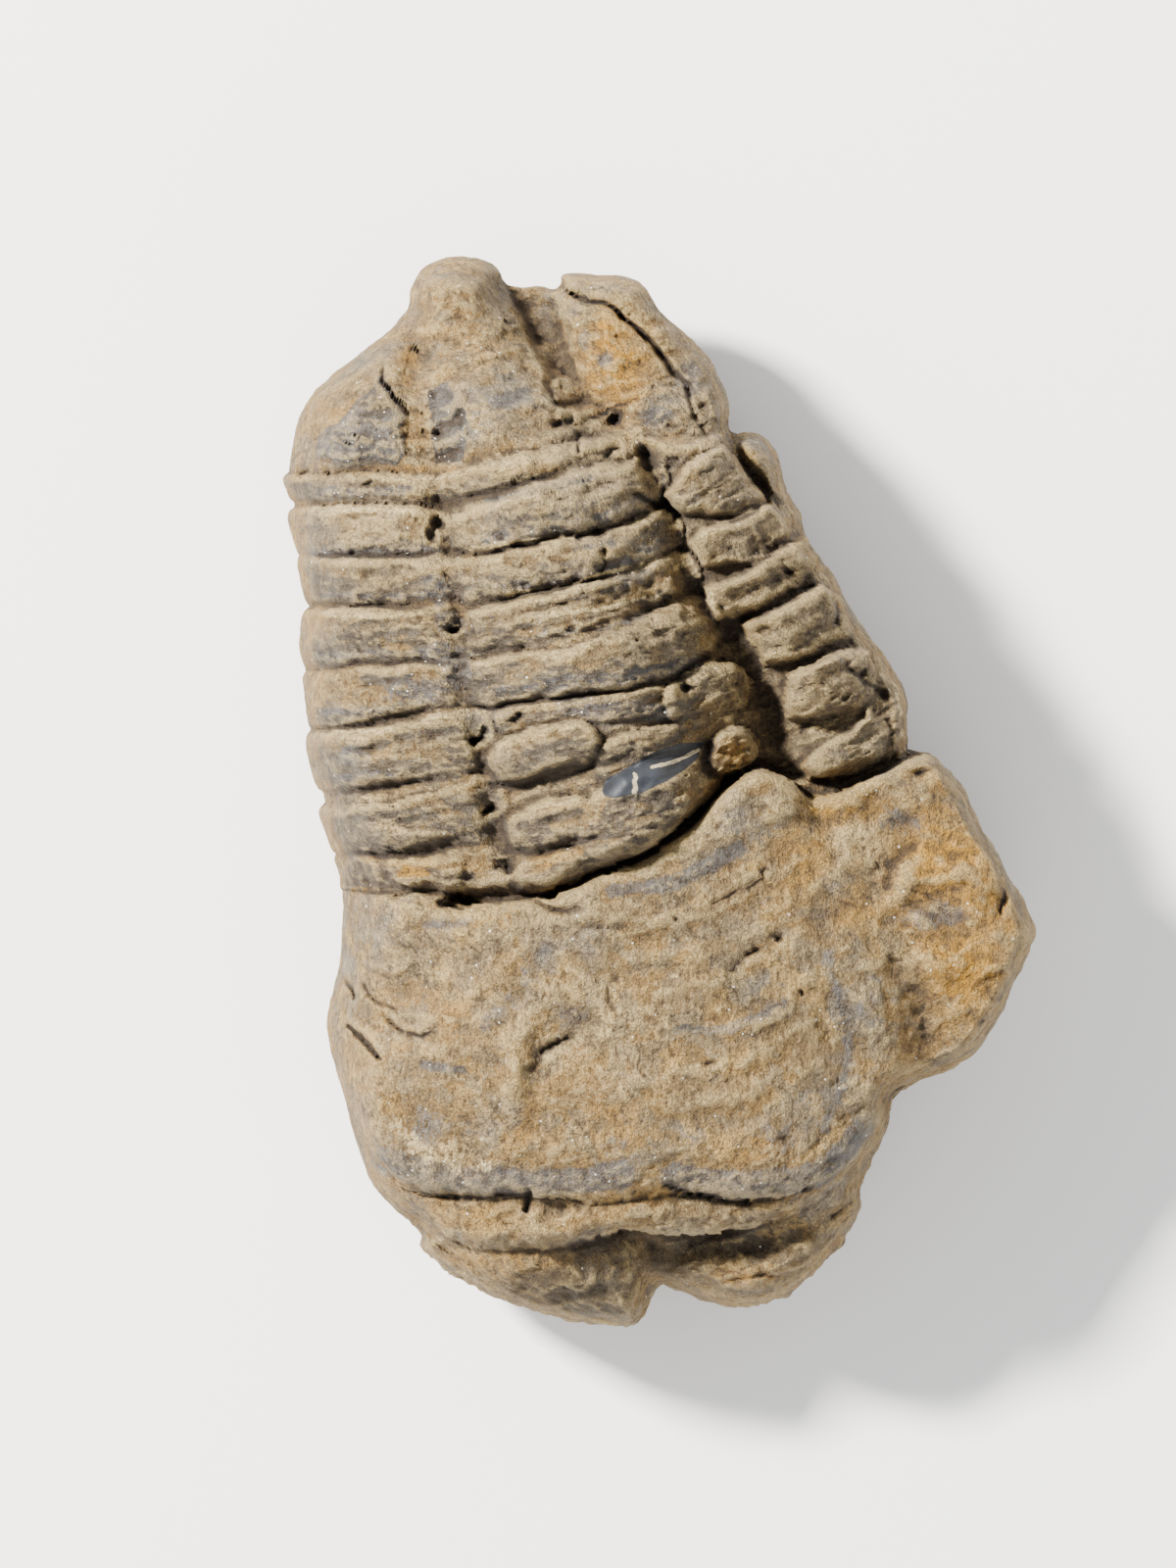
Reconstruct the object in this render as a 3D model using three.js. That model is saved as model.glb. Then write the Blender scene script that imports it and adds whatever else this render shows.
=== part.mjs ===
// Fossil trilobite, one weathered piece of stone, in millimetres.
//
// The animal lies on its belly, back upwards (+Z).  Its tail points to +Y and its head to -Y.
// The origin is the middle of the box around the stone, at the flat underside.
//
// The stone is one closed surface in three parts:
//   the back   - a grid inside the outline, lifted to the height of the back,
//   the flank  - rings that run from the widest line of the stone in and down to the base,
//   the base   - one flat face to rest on.
// Smooth forms come first: three lobes of the body, the head shield, the lip and two feet.
// Ribs, rings, blocks and furrows are then raised on or cut into them, square to the surface.

import * as THREE from 'three';

// ---------------------------------------------------------------- driving dimensions, mm

const COLUMNS = 52;              // grid steps across the back
const BAND_ROWS = [18, 9, 14, 18, 4, 8];   // grid steps along the back in each band, tail to head
const FLANK_RINGS = 6;           // rings between the widest line and the base
const CURVE_STEPS = 5;           // points on a smooth line between two given ones
const CLOSE_SHARE = 0.14;        // share of a grid line, at each rim, where its steps get closer
const NOTCH_REACH = 2.4;         // how far round a notch of the outline the grid is drawn in
const NOTCH_MARGIN = 0.5;        // and how deep inside the outline it stays there

const BASE_SHRINK = 0.3;         // how much smaller the base is than the widest line
const FLANK_TURN = 1.22;         // angle that the flank turns through on its way down, rad
const BASE_ROUND = 0.5;          // how far the base's outline goes over to a plain oval
const BASE_OVAL = [16.5, 27];    // half width and half length of that oval

const CRACK_DEPTH = 3;           // from the back down to the floor of the crack
const RIM_SHARE = 0.5;           // share of a rib's height that shows at the widest line
const RIM_INSET = 0.3;           // and how far the grooves between them cut in there

const STONE = { color: 0x8f8169, roughness: 0.86, metalness: 0 };

// ---------------------------------------------------------------- the outline from above

// clockwise from the tip of the tail
const OUTLINE = [
  [-16.1, 39.7], [-14.5, 39.9], [-12.8, 39.5], [-12, 38.8], [-11.6, 38], [-9.3, 37.9], [-7.7, 37.8],
  [-7.4, 38.6], [-5.3, 38.6], [-1.7, 38], [-0.1, 36], [2.3, 33.8], [3.9, 31.9], [5, 29.4], [5.3, 27],
  [6.2, 26.9], [7.6, 26.4], [8.5, 25.2], [9.6, 22.4], [10.5, 20.7], [10.9, 19], [13, 16.1],
  [14.2, 13.7], [16.4, 10.6], [18.2, 7.6], [18.5, 5], [18.5, 3.2], [19.6, 3.2], [20.7, 2.7],
  [22.6, 0.5], [24.2, -2.9], [25.7, -5.3], [27.2, -8.8], [27.8, -10.6], [27.2, -12.2], [25.5, -16.2],
  [22.8, -19.9], [18.8, -21.7], [17.2, -22.7], [16.9, -25], [15.1, -29.2], [15, -31.4],
  [12.6, -34.8], [9.3, -37.7], [5.3, -38.5], [1.2, -37.2], [-0.1, -36.9], [-1.3, -39.1],
  [-2.4, -39.9], [-6.4, -39.6], [-11.2, -38.3], [-14.5, -36.7], [-17.7, -34.3], [-18.2, -32.6],
  [-21.2, -29.6], [-22.6, -26.4], [-23.4, -23.4], [-24.6, -18.5], [-24.7, -16.4], [-23.9, -12.6],
  [-23.8, -7.8], [-24.4, -4.4], [-25.3, -1], [-25.8, 1.7], [-26.3, 5.5], [-26.4, 8.6],
  [-26.7, 10.8], [-26.4, 13.8], [-27, 17.7], [-27.4, 20.1], [-27.8, 23.9], [-27.1, 27.2],
  [-25.7, 29.8], [-22.8, 32.3], [-20.6, 34.2], [-19.1, 36.1], [-18.9, 37.2], [-17.7, 38.9],
];
// lines across the back that the grid follows, so that its rows run with the ribs.  The first and
// the last one are the outline's own ends; each starts and stops at a point of the outline.
const TAIL_CORNERS = [[-27.1, 27.2], [8.5, 25.2]];
const THIRD_GROOVE = [
  [-26.4, 13.8], [-19.9, 13.6], [-15.3, 13.7], [-8.5, 14.9], [-5.2, 15.6], [-1.5, 16.6], [1.2, 18.1],
  [3.2, 20.2], [5.1, 20.5], [7.9, 21.8], [9.6, 22.4],
];
const FIFTH_GROOVE = [
  [-26.3, 5.5], [-22, 5.1], [-17.2, 6], [-13.4, 6.3], [-5.3, 7.2], [2, 8.6], [7.3, 9], [10, 9.6],
  [13.4, 10.4], [16.4, 10.6],
];
const CRACK = [
  [-23.8, -7.8], [-16.3, -7.7], [-11.2, -8.1], [-6.8, -7.1], [-4.7, -6], [-1.8, -5], [2, -2.7],
  [4.7, 0.3], [7, 1.9], [9.3, 0.9], [12.7, 0.2], [15.8, 1.5], [18.5, 3.2],
];
const HEAD_MARGIN = [
  [-23.4, -23.4], [-21.2, -26.6], [-17.6, -29.2], [-12.6, -30.2], [-9.3, -30.1], [-5.3, -30.5],
  [-2.4, -30.2], [2, -29.9], [6.7, -30.2], [11, -28.9], [12.8, -26.6], [13.6, -24.2], [14.9, -22.6],
  [17.2, -22.7],
];
const LIP_MARGIN = [
  [-22.6, -26.4], [-20.6, -27.9], [-18.9, -30.2], [-16.9, -31.8], [-14, -33.3], [-11.2, -34],
  [-6.8, -33.6], [-2.4, -32.7], [2, -32.8], [6.5, -32.4], [10.1, -31.3], [12.8, -30.1], [15.1, -29.2],
];
const FRONT_CORNERS = [[-17.7, -34.3], [12.6, -34.8]];

// where the outline turns in sharply
const NOTCHES = [
  [5.6, 27], [18.7, 3.2], [18, -22.2], [-18.2, -32.6], [-18.9, 37.2], [-11.8, 38.4], [-0.1, -36.9],
];

// height of the widest line, and how far in from it the back bends over: [x, y, value]
const RIM_HEIGHT = [
  [-14.8, 39.3, 12], [-5.3, 37.8, 12], [-27.2, 24.7, 13], [-26.5, 7.9, 14], [-23.9, -14, 14],
  [-22.1, -27.2, 13], [-14.8, -36.6, 9.5], [-2.4, -39.6, 9.5], [6.4, -38.1, 9.5], [15.1, -30.8, 10],
  [23.9, -18.4, 13], [27.5, -10.4, 14], [21, 1.3, 14], [18, 6.4, 14], [10.7, 19.6, 13], [4.9, 28.3, 12],
];
const RIM_BEND = [
  [-27.2, 22.5, 4.4], [-26.5, 7.9, 3.9], [-23.9, -14, 4.6], [-14.8, 38.5, 2.9], [-5.3, 37.8, 1.6],
  [4.9, 28.3, 1.6], [15.1, 12.3, 1.5], [18.4, 4.2, 1.2], [23.9, -3.8, 1.3], [27.5, -11.1, 1.3],
  [21, -19.9, 1.4], [16.6, -25, 2], [14.9, -31, 3.4], [2, -37.4, 3.6], [-12.6, -38.1, 4.2],
  [-22.1, -26.4, 2.4],
];

// ---------------------------------------------------------------- thorax and tail

const TRUNK_EDGE = [
  [-34.5, 44.4], [23.9, 44.4], [23.9, 15.2], [20.2, 3.1], [18.5, 3], [15.8, 1.8], [12.8, 0.4],
  [11.1, 0.9], [9.3, 0.8], [7.8, 1.5], [6.9, 2], [5, 0.8], [3.9, -0.4], [1, -3], [-1.8, -4.7],
  [-4.7, -5.8], [-6.8, -6.9], [-8.8, -7.6], [-11.2, -8], [-14.8, -7.7], [-19.9, -7.5],
  [-23.9, -7.3], [-34.5, -7.3],
];
const TRUNK_HEIGHT = [
  [-18.1, 34.9, 19.5], [-16.1, 24.7, 29], [-15.4, 15.2, 31.6], [-13.7, 3.5, 32], [-12.3, -5.3, 30.5],
  [-9.7, 35.6, 18], [-5.3, 29.1, 24.5], [0.1, 23.2, 28], [3.4, 15.2, 28.5], [6.7, 7.9, 28],
  [9.3, 2, 27], [-26.2, 24.7, 22], [-24.5, 15.2, 25.5], [-24, 4.2, 26], [-23.4, -6, 25.5],
  [-20.5, 27, 28], [-20, 15, 30.5], [-19, 3, 30.8], [-18, -5, 29.5], [-0.9, 35.6, 18],
  [5.3, 28.3, 21.5], [10, 20.3, 23], [15.1, 12.3, 23.5], [17.4, 4.2, 24.5], [-8.2, 18.1, 31.5],
  [-5.3, 7.9, 32.5], [-4.6, -3.1, 31.5], [-14.8, 39.3, 14.5],
];
const TRUNK_REACH = 5.1;

// where broken rock fills the crack: { line, half width, height }
const CRACK_FILLS = [
  { line: [[-24.5, -7.6], [-20, -7.7], [-16.6, -7.9]], half: 1.6, height: 2 },
  { line: [[8, 1.2], [10.4, 0.4], [12.7, 0.1], [15.8, 1.4], [18, 2.8]], half: 1.8, height: 2.2 },
];

// long soft swells: { line, half width, height }
const AXIS = {
  line: [[-15.2, 37], [-13.9, 33.5], [-11.8, 29.5], [-9, 23.2], [-6.6, 15.2], [-4.6, 7.9],
    [-2.6, 0.6], [-1.9, -5.8]],
  half: [4.3, 5.2, 7, 9, 10.2, 10.6, 11, 11],
  height: [3.2, 4.2, 3.8, 3.2, 3.2, 3.2, 3.2, 3],
};
const RIGHT_LOBE = {
  line: [[-4, 34.2], [1.6, 27.1], [7.4, 19.6], [11, 13], [14, 5.7], [15, 1.3]],
  half: [4.2, 4.2, 4.6, 4.8, 4.8, 4.8],
  height: 1.8,
};

// furrows beside the axis, and the gap inside the splinter at the right of the tail
const FURROWS = [
  { line: [[-1.7, 26.9], [-0.6, 23.8], [0.4, 21], [1.2, 18.4], [2.3, 15.2], [4.6, 12.3],
    [6.2, 10.2], [7.2, 8.4], [8.4, 5.2], [9.1, 2.2]],
  half: [0.9, 1.1, 1.1, 1.1, 1.2, 1.4, 1.6, 1.8, 1.8, 1.6],
  height: [0.8, 2.4, 2.6, 2.8, 2.8, 3.2, 3.4, 3.5, 3.5, 3] },
  { line: [[-11.3, 38], [-9.3, 34.9], [-6.8, 31.2], [-4.6, 28.4], [-2.6, 26.4]],
    half: [1.4, 1.8, 1.8, 1.3, 0.9], height: [2.2, 4.2, 3.6, 2.4, 1] },
  { line: [[-18.6, 36], [-18.2, 28], [-15.9, 19.5], [-14.4, 8], [-12.2, -2.5], [-11.5, -5.4]],
    half: [1.3, 1.2, 1, 1, 1, 1], height: [0.6, 0.7, 0.9, 1.3, 1.4, 1] },
  { line: [[5.3, 27.1], [5.8, 24.7], [7.6, 22.4], [9.4, 20.9], [10.1, 19.2]],
    half: [0.8, 0.9, 1, 0.9, 0.7], height: [1.5, 2.4, 2.4, 2, 1.2] },
];

// ribs of the left side, from the tail to the head
const LEFT_RIBS = [
  { line: [[-28.7, 22.7], [-25, 22.5], [-21.8, 22.6], [-17.4, 22.4]], half: 1.1, height: 0.8 },
  { line: [[-28.7, 19.1], [-25, 19.3], [-21.4, 19.5], [-17, 19.2]],
    half: 1.9, height: [0.8, 1.3, 1.4, 1] },
  { line: [[-28, 15.8], [-23.9, 15.7], [-19.9, 15.8], [-16.2, 15.7]],
    half: 1.8, height: [0.8, 1.2, 1.3, 0.9] },
  { line: [[-27.6, 11.2], [-23.6, 11.4], [-19.9, 11.5], [-15.9, 11.8]],
    half: 2.3, height: [0.9, 1.4, 1.5, 1] },
  { line: [[-27.5, 6.8], [-23.6, 7], [-19.9, 7.3], [-15.2, 8]],
    half: 2.2, height: [0.9, 1.4, 1.5, 1] },
  { line: [[-27.2, 2.2], [-23.6, 2.3], [-19.9, 2.8], [-14.3, 3.9]],
    half: 2.3, height: [0.9, 1.5, 1.6, 1] },
  { line: [[-26.5, -2.8], [-23.6, -2.9], [-19.9, -2.5], [-16.3, -1.8], [-13.2, -0.8]],
    half: 1.9, height: [0.9, 1.4, 1.5, 1.3, 0.8] },
  { line: [[-25, -6], [-21.4, -6.1], [-17.7, -6.1], [-15.9, -5.9]], half: 1.3, height: 0.8 },
];

// rings and broken lumps of the axis, from the tail to the head
const AXIS_RINGS = [
  { line: [[-15.9, 22.5], [-12.6, 23.2], [-9.3, 24.1], [-4.6, 25.3], [-2, 26.1]], half: 1.1, height: 0.9 },
  { line: [[-14.4, 19.2], [-11.2, 20.1], [-8.2, 20.9], [-5.3, 21.6], [-3, 22.3], [-1.2, 23.1]],
    half: [1.6, 1.9, 2, 2.3, 2.3, 1.8], height: [1.3, 1.8, 1.9, 2, 2, 1.8] },
  { line: [[-14.4, 15.6], [-11.9, 16.1], [-8.2, 16.8], [-4.6, 17.5], [-1.9, 18.3], [0, 19.2]],
    half: 1.7, height: [1.1, 1.6, 1.7, 1.7, 1.7, 1.6] },
  { line: [[-14.1, 11.7], [-9, 12.8], [-5.3, 13.7], [-1.7, 14.8], [1.2, 16.1]],
    half: 1.8, height: [1.1, 1.6, 1.6, 1.6, 1.6, 1.4] },
  { line: [[-13.6, 8], [-10.4, 8.5], [-6.1, 9.1], [-2.4, 10.1], [1, 11.6], [2.5, 12.4]],
    half: [1.7, 1.8, 1.8, 2.3, 2.6, 2.2], height: [1.3, 1.8, 2, 2.1, 2.2, 2] },
  { line: [[-11.2, 5.3], [-8.2, 5.8], [-4.6, 6], [-0.2, 6.7]], half: 1.1, height: 0.9 },
  { line: [[1.7, 6.7], [3.6, 7.4], [5, 7.8]], half: [1.7, 2.3, 1.9], height: 2.1 },
  { line: [[-11, 2.2], [-9, 2.9], [-6.2, 3.5]], half: [1.8, 2, 1.7], height: 2.1 },
  { line: [[-3.5, 2.4], [0.5, 3.7], [4.2, 5.1]], half: 1.5, height: 1.2 },
  { line: [[-9.7, -2.9], [-7.9, -2.3], [-6.4, -2]], half: 1.8, height: 1.9 },
  { line: [[-4.1, -2.6], [-0.6, -0.9], [1.6, 0.4], [3.1, 1.5]],
    half: [2.5, 3.2, 2.8, 1.8], height: [2.4, 2.8, 2.6, 1.8] },
  { line: [[-10.1, -6], [-6.8, -5.4], [-4.2, -4.4]], half: 1, height: 0.8 },
  { line: [[5.3, 2.9], [5.8, 3.1]], half: 1.8, height: 2.6 },
  { line: [[-8.5, 11.1], [-5.3, 11.6], [-2, 12.6]], half: 1.5, height: 1.5 },
];
const RIGHT_MARGIN = {
  line: [[9.5, 21.6], [11.4, 18.6], [13.1, 16], [15.2, 12.5], [16.9, 9.3], [17.8, 6.4], [17.9, 3.3]],
  half: 0.8, height: 0.6,
};

// broken rib ends of the right side: { ring, height, edge }, edge being the width of the rounded edge
const RIGHT_BLOCKS = [
  { ring: [[-1.7, 26.2], [3.1, 26.4], [5.2, 27.6], [5, 24.6], [0.2, 23.9]], height: 1.6, edge: 1.3 },
  { ring: [[0, 21.9], [1.6, 24.2], [4.6, 26], [6.3, 24.1], [7.9, 21.8], [5.1, 20.5], [1.4, 20.4]],
    height: 2, edge: 0.9 },
  { ring: [[1.9, 18.5], [3, 19.6], [5, 20.2], [8.3, 21.8], [9.9, 19.2], [7.7, 16.8], [3, 16.5]],
    height: 2.2, edge: 0.8 },
  { ring: [[3, 15.2], [6.4, 16.6], [10.6, 19.2], [11.8, 17.3], [10.4, 14.6], [7.2, 13.4], [3.9, 12.6]],
    height: 2.2, edge: 0.8 },
  { ring: [[5.7, 12.4], [9.4, 14], [11.8, 15.6], [13.6, 14.4], [14.5, 11.6], [11.4, 10], [7.6, 9.2]],
    height: 2.3, edge: 0.9 },
  { ring: [[9.1, 8.8], [13.3, 10.6], [15.4, 10.6], [16, 8], [14.9, 6.4], [11.6, 5.2], [9.2, 5.3]],
    height: 2.3, edge: 0.9 },
  { ring: [[10.3, 2], [12.2, 4], [14, 4.9], [15.4, 6.6], [17.2, 4.6], [16.4, 2.4], [13.4, 1.1],
    [10.8, 0.7]], height: 2.4, edge: 0.9 },
];
const BLOCK_LEAN = 0.6;          // how much higher a block's upper left stands than its middle
const FURROW_STOP = 0.6;         // share of a furrow's depth that a block keeps out

// ---------------------------------------------------------------- head shield, lip and feet

const HEAD_EDGE = [
  [-30.9, -7.1], [-23.9, -7.3], [-20.7, -7.7], [-16.3, -7.7], [-14.1, -8.4], [-11.2, -8.2],
  [-7.9, -7.8], [-5.3, -6.5], [-1.7, -5.2], [2, -2.9], [4.5, -0.1], [6.1, 1.2], [7.4, 1.7], [9.4, 1],
  [10.4, 0], [12.6, -0.1], [15.8, 1.3], [18.6, 2.5], [19.9, 3.2], [32.6, 5], [32.6, -24],
  [23.5, -23.4], [19.4, -23.6], [16.6, -24.6], [14.5, -27.2], [11.6, -29.1], [6.7, -30.4],
  [2, -29.9], [-2.4, -30.2], [-5.3, -30.5], [-9.3, -30.1], [-12.6, -30.3], [-17.6, -29.8],
  [-20.8, -27.9], [-22.7, -25], [-23.9, -23.4], [-30.9, -22],
];
const HEAD_HEIGHT = [
  [-19.9, -8.9, 28.8], [-23.4, -14, 22.5], [-5.3, -6.7, 33], [0, -3.6, 33.6], [4.9, -0.6, 33.8],
  [-5.3, -14, 32.2], [-3.9, -21.3, 31], [-14.1, -19.9, 31], [-13, -9, 31.5], [-19.9, -23.5, 26.5],
  [-5.3, -28.6, 28.3], [-16.3, -27.9, 27.4], [6.4, -21.3, 31], [5.6, -28.6, 27.8], [12.2, -26.4, 27],
  [12.9, -18.4, 29.8], [9.3, -6.7, 31], [8, 1, 33.2], [15.1, -1.6, 31], [18.8, -6.7, 29.3],
  [21, -14, 28], [23.9, -6.7, 28.2], [26.8, -11.1, 26.5], [20.2, -19.9, 24], [16.6, -22.8, 24.5],
  [20.7, 0.6, 27.5], [25.3, -15.5, 25.5],
];
const HEAD_REACH = 5.2;
const HEAD_SWELLS = [
  { line: [[15.5, -21.3], [16.9, -18.4], [15.1, -14], [12.6, -12.2]], half: 3, height: [1, 1.2, 1, 0.6] },
  { line: [[5.5, 0.6], [7.4, 0.9], [9, -0.6]], half: 2.6, height: 0.8 },
  { line: [[-20, -9.8], [-14, -10.4], [-6, -9], [0, -6.2], [4.5, -2.6]], half: 2.2, height: 0.5 },
  { line: [[-9.6, -23], [-9, -19.2], [-7.2, -16.9], [-4.9, -14.9], [-4.2, -12.6]], half: 1.6, height: 0.7 },
  { line: [[-3.4, -9.9], [2, -9], [5.6, -6.7], [7.6, -4.2]], half: 1.5, height: 0.5 },
  { line: [[0.2, -13.6], [4.9, -13], [8.4, -11], [10.4, -8.2]], half: 1.5, height: 0.6 },
  { line: [[0.2, -18], [5.6, -17.2], [9.6, -14.7], [11.6, -12.4]], half: 1.5, height: 0.6 },
  { line: [[-13, -26.2], [-6, -26.6], [1, -26.2], [8, -26.4]], half: 1.8, height: 0.5 },
  { line: [[20.4, -3.2], [23.2, -7.2], [25, -11]], half: 2, height: 0.7 },
  { line: [[13.8, -0.6], [17, 0.2], [19.5, -0.8]], half: 1.8, height: 0.6 },
];
const HEAD_VALLEYS = [
  { line: [[12, -11.5], [12.6, -9.3], [15.6, -7.4], [16.6, -5], [19.8, -3.6]],
    half: 1.7, height: [0.6, 0.7, 0.8, 0.5, 0.2] },
  { line: [[19.9, -19.5], [19.5, -16.2], [18.6, -12.6], [17, -10.4]],
    half: 1.8, height: [0.9, 0.8, 0.5, 0.2] },
  { line: [[11, -0.6], [12, -3], [11.6, -5.6]], half: 1.1, height: [0.8, 0.6, 0.3] },
];
const HEAD_FRONT = [-21.3, -28.6];     // from where to where the head's edge turns to a rounded front

const LIP = {
  ring: [[-26, -21.3], [-25.5, -26.5], [-22.5, -30.4], [-17.9, -32.6], [-14.2, -33.9], [-11.2, -34.2],
    [-6.8, -33.7], [-2.4, -32.7], [2, -32.9], [6.5, -32.5], [10.1, -31.2], [13.1, -29.1], [15.5, -26.9],
    [19.5, -25.4], [20, -21], [12.9, -19.9], [-5.3, -21.3]],
  heights: [[-21.4, -28.6, 24.8], [-17.7, -31.9, 24.6], [-11.2, -33.4, 24.6], [-2.4, -32.3, 25.4],
    [-9.5, -30.8, 26.2], [-4, -31, 26.6], [6.4, -31.9, 24.8], [12.9, -28.6, 24.8],
    [16.6, -24.2, 24.5]],
  drop: 3,
  edge: 1.5,
};
const LEFT_FOOT = {
  ring: [[-22.4, -27.2], [-21.5, -33.8], [-19.8, -37], [-15.7, -39.6], [-11.6, -41.2], [-6.4, -42.4],
    [-1.6, -42], [-0.8, -38.8], [-0.4, -35.9], [-1.7, -32.3], [-12.6, -28.6]],
  heights: [[-17, -34.5, 22], [-9.7, -36.2, 22.6], [-2.9, -37.6, 20.5], [-0.9, -34.5, 19.5]],
  drop: 5,
  edge: 1.6,
};
const RIGHT_FOOT = {
  ring: [[1.2, -33], [0.6, -35.9], [0.7, -39.4], [5.3, -41.3], [10.6, -40.4], [15, -36.9], [18, -32.5],
    [18.2, -29], [20, -25], [19.4, -21.8], [12.9, -27.2], [6.4, -31.5]],
  heights: [[2, -35.9, 19.5], [6.4, -36.2, 21.2], [12.2, -33.1, 21.6], [15.1, -30.1, 21.6],
    [16.4, -25.2, 22.4]],
  drop: 5,
  edge: 1.6,
};
// low saddle of rock between the two feet
const SADDLE = {
  ring: [[-3, -31.5], [3.4, -31.5], [3.4, -35], [1.4, -37.6], [-0.8, -37.8], [-3, -35]],
  heights: [[0, -33.2, 21], [0.2, -35.6, 18]],
  drop: 2,
  edge: 1,
};
// hollow under the lip, behind the right foot
const RECESS = {
  line: [[-0.4, -33.9], [5, -34], [10, -33], [13.6, -30.8]],
  half: 1.2,
  height: [1.6, 2, 1.8, 0.8],
};
const LEDGE_REACH = 4.4;

// ---------------------------------------------------------------- lines and fields

// a smooth line through the points (Catmull-Rom), open or closed
function smoothLine(points, closed = false) {
  const count = points.length;
  const at = (i) => {
    if (closed) return points[(i + count) % count];
    if (i < 0) return [2 * points[0][0] - points[1][0], 2 * points[0][1] - points[1][1]];
    if (i >= count) {
      const [last, before] = [points[count - 1], points[count - 2]];
      return [2 * last[0] - before[0], 2 * last[1] - before[1]];
    }
    return points[i];
  };
  const line = [];
  for (let i = 0; i < (closed ? count : count - 1); i += 1) {
    const [a, b, c, d] = [at(i - 1), at(i), at(i + 1), at(i + 2)];
    for (let step = 0; step < CURVE_STEPS; step += 1) {
      const t = step / CURVE_STEPS;
      line.push([0, 1].map((k) => 0.5 * (2 * b[k] + (c[k] - a[k]) * t
        + (2 * a[k] - 5 * b[k] + 4 * c[k] - d[k]) * t ** 2
        + (3 * b[k] - a[k] - 3 * c[k] + d[k]) * t ** 3)));
    }
  }
  if (!closed) line.push(points[count - 1]);
  return line;
}

// the nearest place on a line: its distance, the unit vector from there to the point (to the line's
// right where they are one), and its share of the line's length
function nearestOn(line, x, y, closed = false) {
  const ends = closed ? [...line, line[0]] : line;
  let best = { distance: Infinity };
  let start = 0;
  for (let i = 0; i + 1 < ends.length; i += 1) {
    const [dx, dy] = [ends[i + 1][0] - ends[i][0], ends[i + 1][1] - ends[i][1]];
    const length = Math.hypot(dx, dy);
    const along = THREE.MathUtils.clamp(((x - ends[i][0]) * dx + (y - ends[i][1]) * dy) / length ** 2, 0, 1);
    const [ex, ey] = [x - ends[i][0] - along * dx, y - ends[i][1] - along * dy];
    const distance = Math.hypot(ex, ey);
    const way = distance > 1e-3 ? [ex / distance, ey / distance] : [dy / length, -dx / length];
    if (distance < best.distance) best = { distance, way, at: start + along * length };
    start += length;
  }
  best.share = best.at / start;
  return best;
}

// is the point inside the ring (crossing count)
function isInside(ring, x, y) {
  let odd = false;
  for (let i = 0, j = ring.length - 1; i < ring.length; j = i, i += 1) {
    const [[ax, ay], [bx, by]] = [ring[i], ring[j]];
    if (ay > y !== by > y && x < ((bx - ax) * (y - ay)) / (by - ay) + ax) odd = !odd;
  }
  return odd;
}

// how deep inside a ring a point lies, negative outside
function depthInside(ring, x, y) {
  const { distance } = nearestOn(ring, x, y, true);
  return isInside(ring, x, y) ? distance : -distance;
}

// a rounded edge: 0 at the edge, 1 from the given width on
function roundedEdge(depth, width) {
  const left = 1 - THREE.MathUtils.clamp(depth / width, 0, 1);
  return 1 - left * left;
}

// a value that may be one number or a list spread evenly along a line
function valueAt(value, share) {
  if (!Array.isArray(value)) return value;
  const place = share * (value.length - 1);
  const i = Math.min(Math.floor(place), value.length - 2);
  return THREE.MathUtils.lerp(value[i], value[i + 1], place - i);
}

// three cross-sections along a line: a full round ridge, a soft swell and a groove
const ridge = (c) => (c < 1 ? (1 - c * c) ** 0.8 : 0);
const swell = (c) => (c < 1 ? (1 - c * c) ** 2 : 0);
const groove = (c) => Math.exp(-c * c);

function along(section, stroke, x, y) {
  stroke.route ??= smoothLine(stroke.line);
  const { distance, share } = nearestOn(stroke.route, x, y);
  return valueAt(stroke.height, share) * section(distance / valueAt(stroke.half, share));
}

// a smooth height through scattered given ones: their mean, weighted by a bell round each
function meanHeight(heights, reach, x, y) {
  let [sum, weight] = [0, 1e-12];
  for (const [px, py, value] of heights) {
    const bell = Math.exp(-((x - px) ** 2 + (y - py) ** 2) / reach ** 2);
    sum += bell * value;
    weight += bell;
  }
  return sum / weight;
}

const total = (section, strokes, x, y) => strokes.reduce((sum, s) => sum + along(section, s, x, y), 0);
const highest = (section, strokes, x, y) => Math.max(...strokes.map((s) => along(section, s, x, y)));

// ---------------------------------------------------------------- the smooth body

const outline = smoothLine(OUTLINE, true);
const headEdge = smoothLine(HEAD_EDGE, true);
for (const ledge of [LIP, LEFT_FOOT, RIGHT_FOOT, SADDLE]) ledge.route = smoothLine(ledge.ring, true);

function trunkHeight(x, y) {
  const depth = depthInside(TRUNK_EDGE, x, y);
  if (depth <= 0) return 0;
  return meanHeight(TRUNK_HEIGHT, TRUNK_REACH, x, y) + along(swell, AXIS, x, y)
    + along(swell, RIGHT_LOBE, x, y) - CRACK_DEPTH * (1 - roundedEdge(depth, 1.3));
}

function headHeight(x, y) {
  const depth = depthInside(headEdge, x, y);
  if (depth <= 0) return 0;
  const front = THREE.MathUtils.smoothstep(-y, -HEAD_FRONT[0], -HEAD_FRONT[1]);
  return meanHeight(HEAD_HEIGHT, HEAD_REACH, x, y) + total(swell, HEAD_SWELLS, x, y)
    - total(groove, HEAD_VALLEYS, x, y) - (1 + 0.8 * front) * (1 - roundedEdge(depth, 0.7 + 1.3 * front));
}

// a rounded step below the head: the lip or a foot
function ledgeHeight(ledge, x, y) {
  const depth = depthInside(ledge.route, x, y);
  if (depth <= 0) return 0;
  return meanHeight(ledge.heights, LEDGE_REACH, x, y) - ledge.drop * (1 - roundedEdge(depth, ledge.edge));
}

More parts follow.
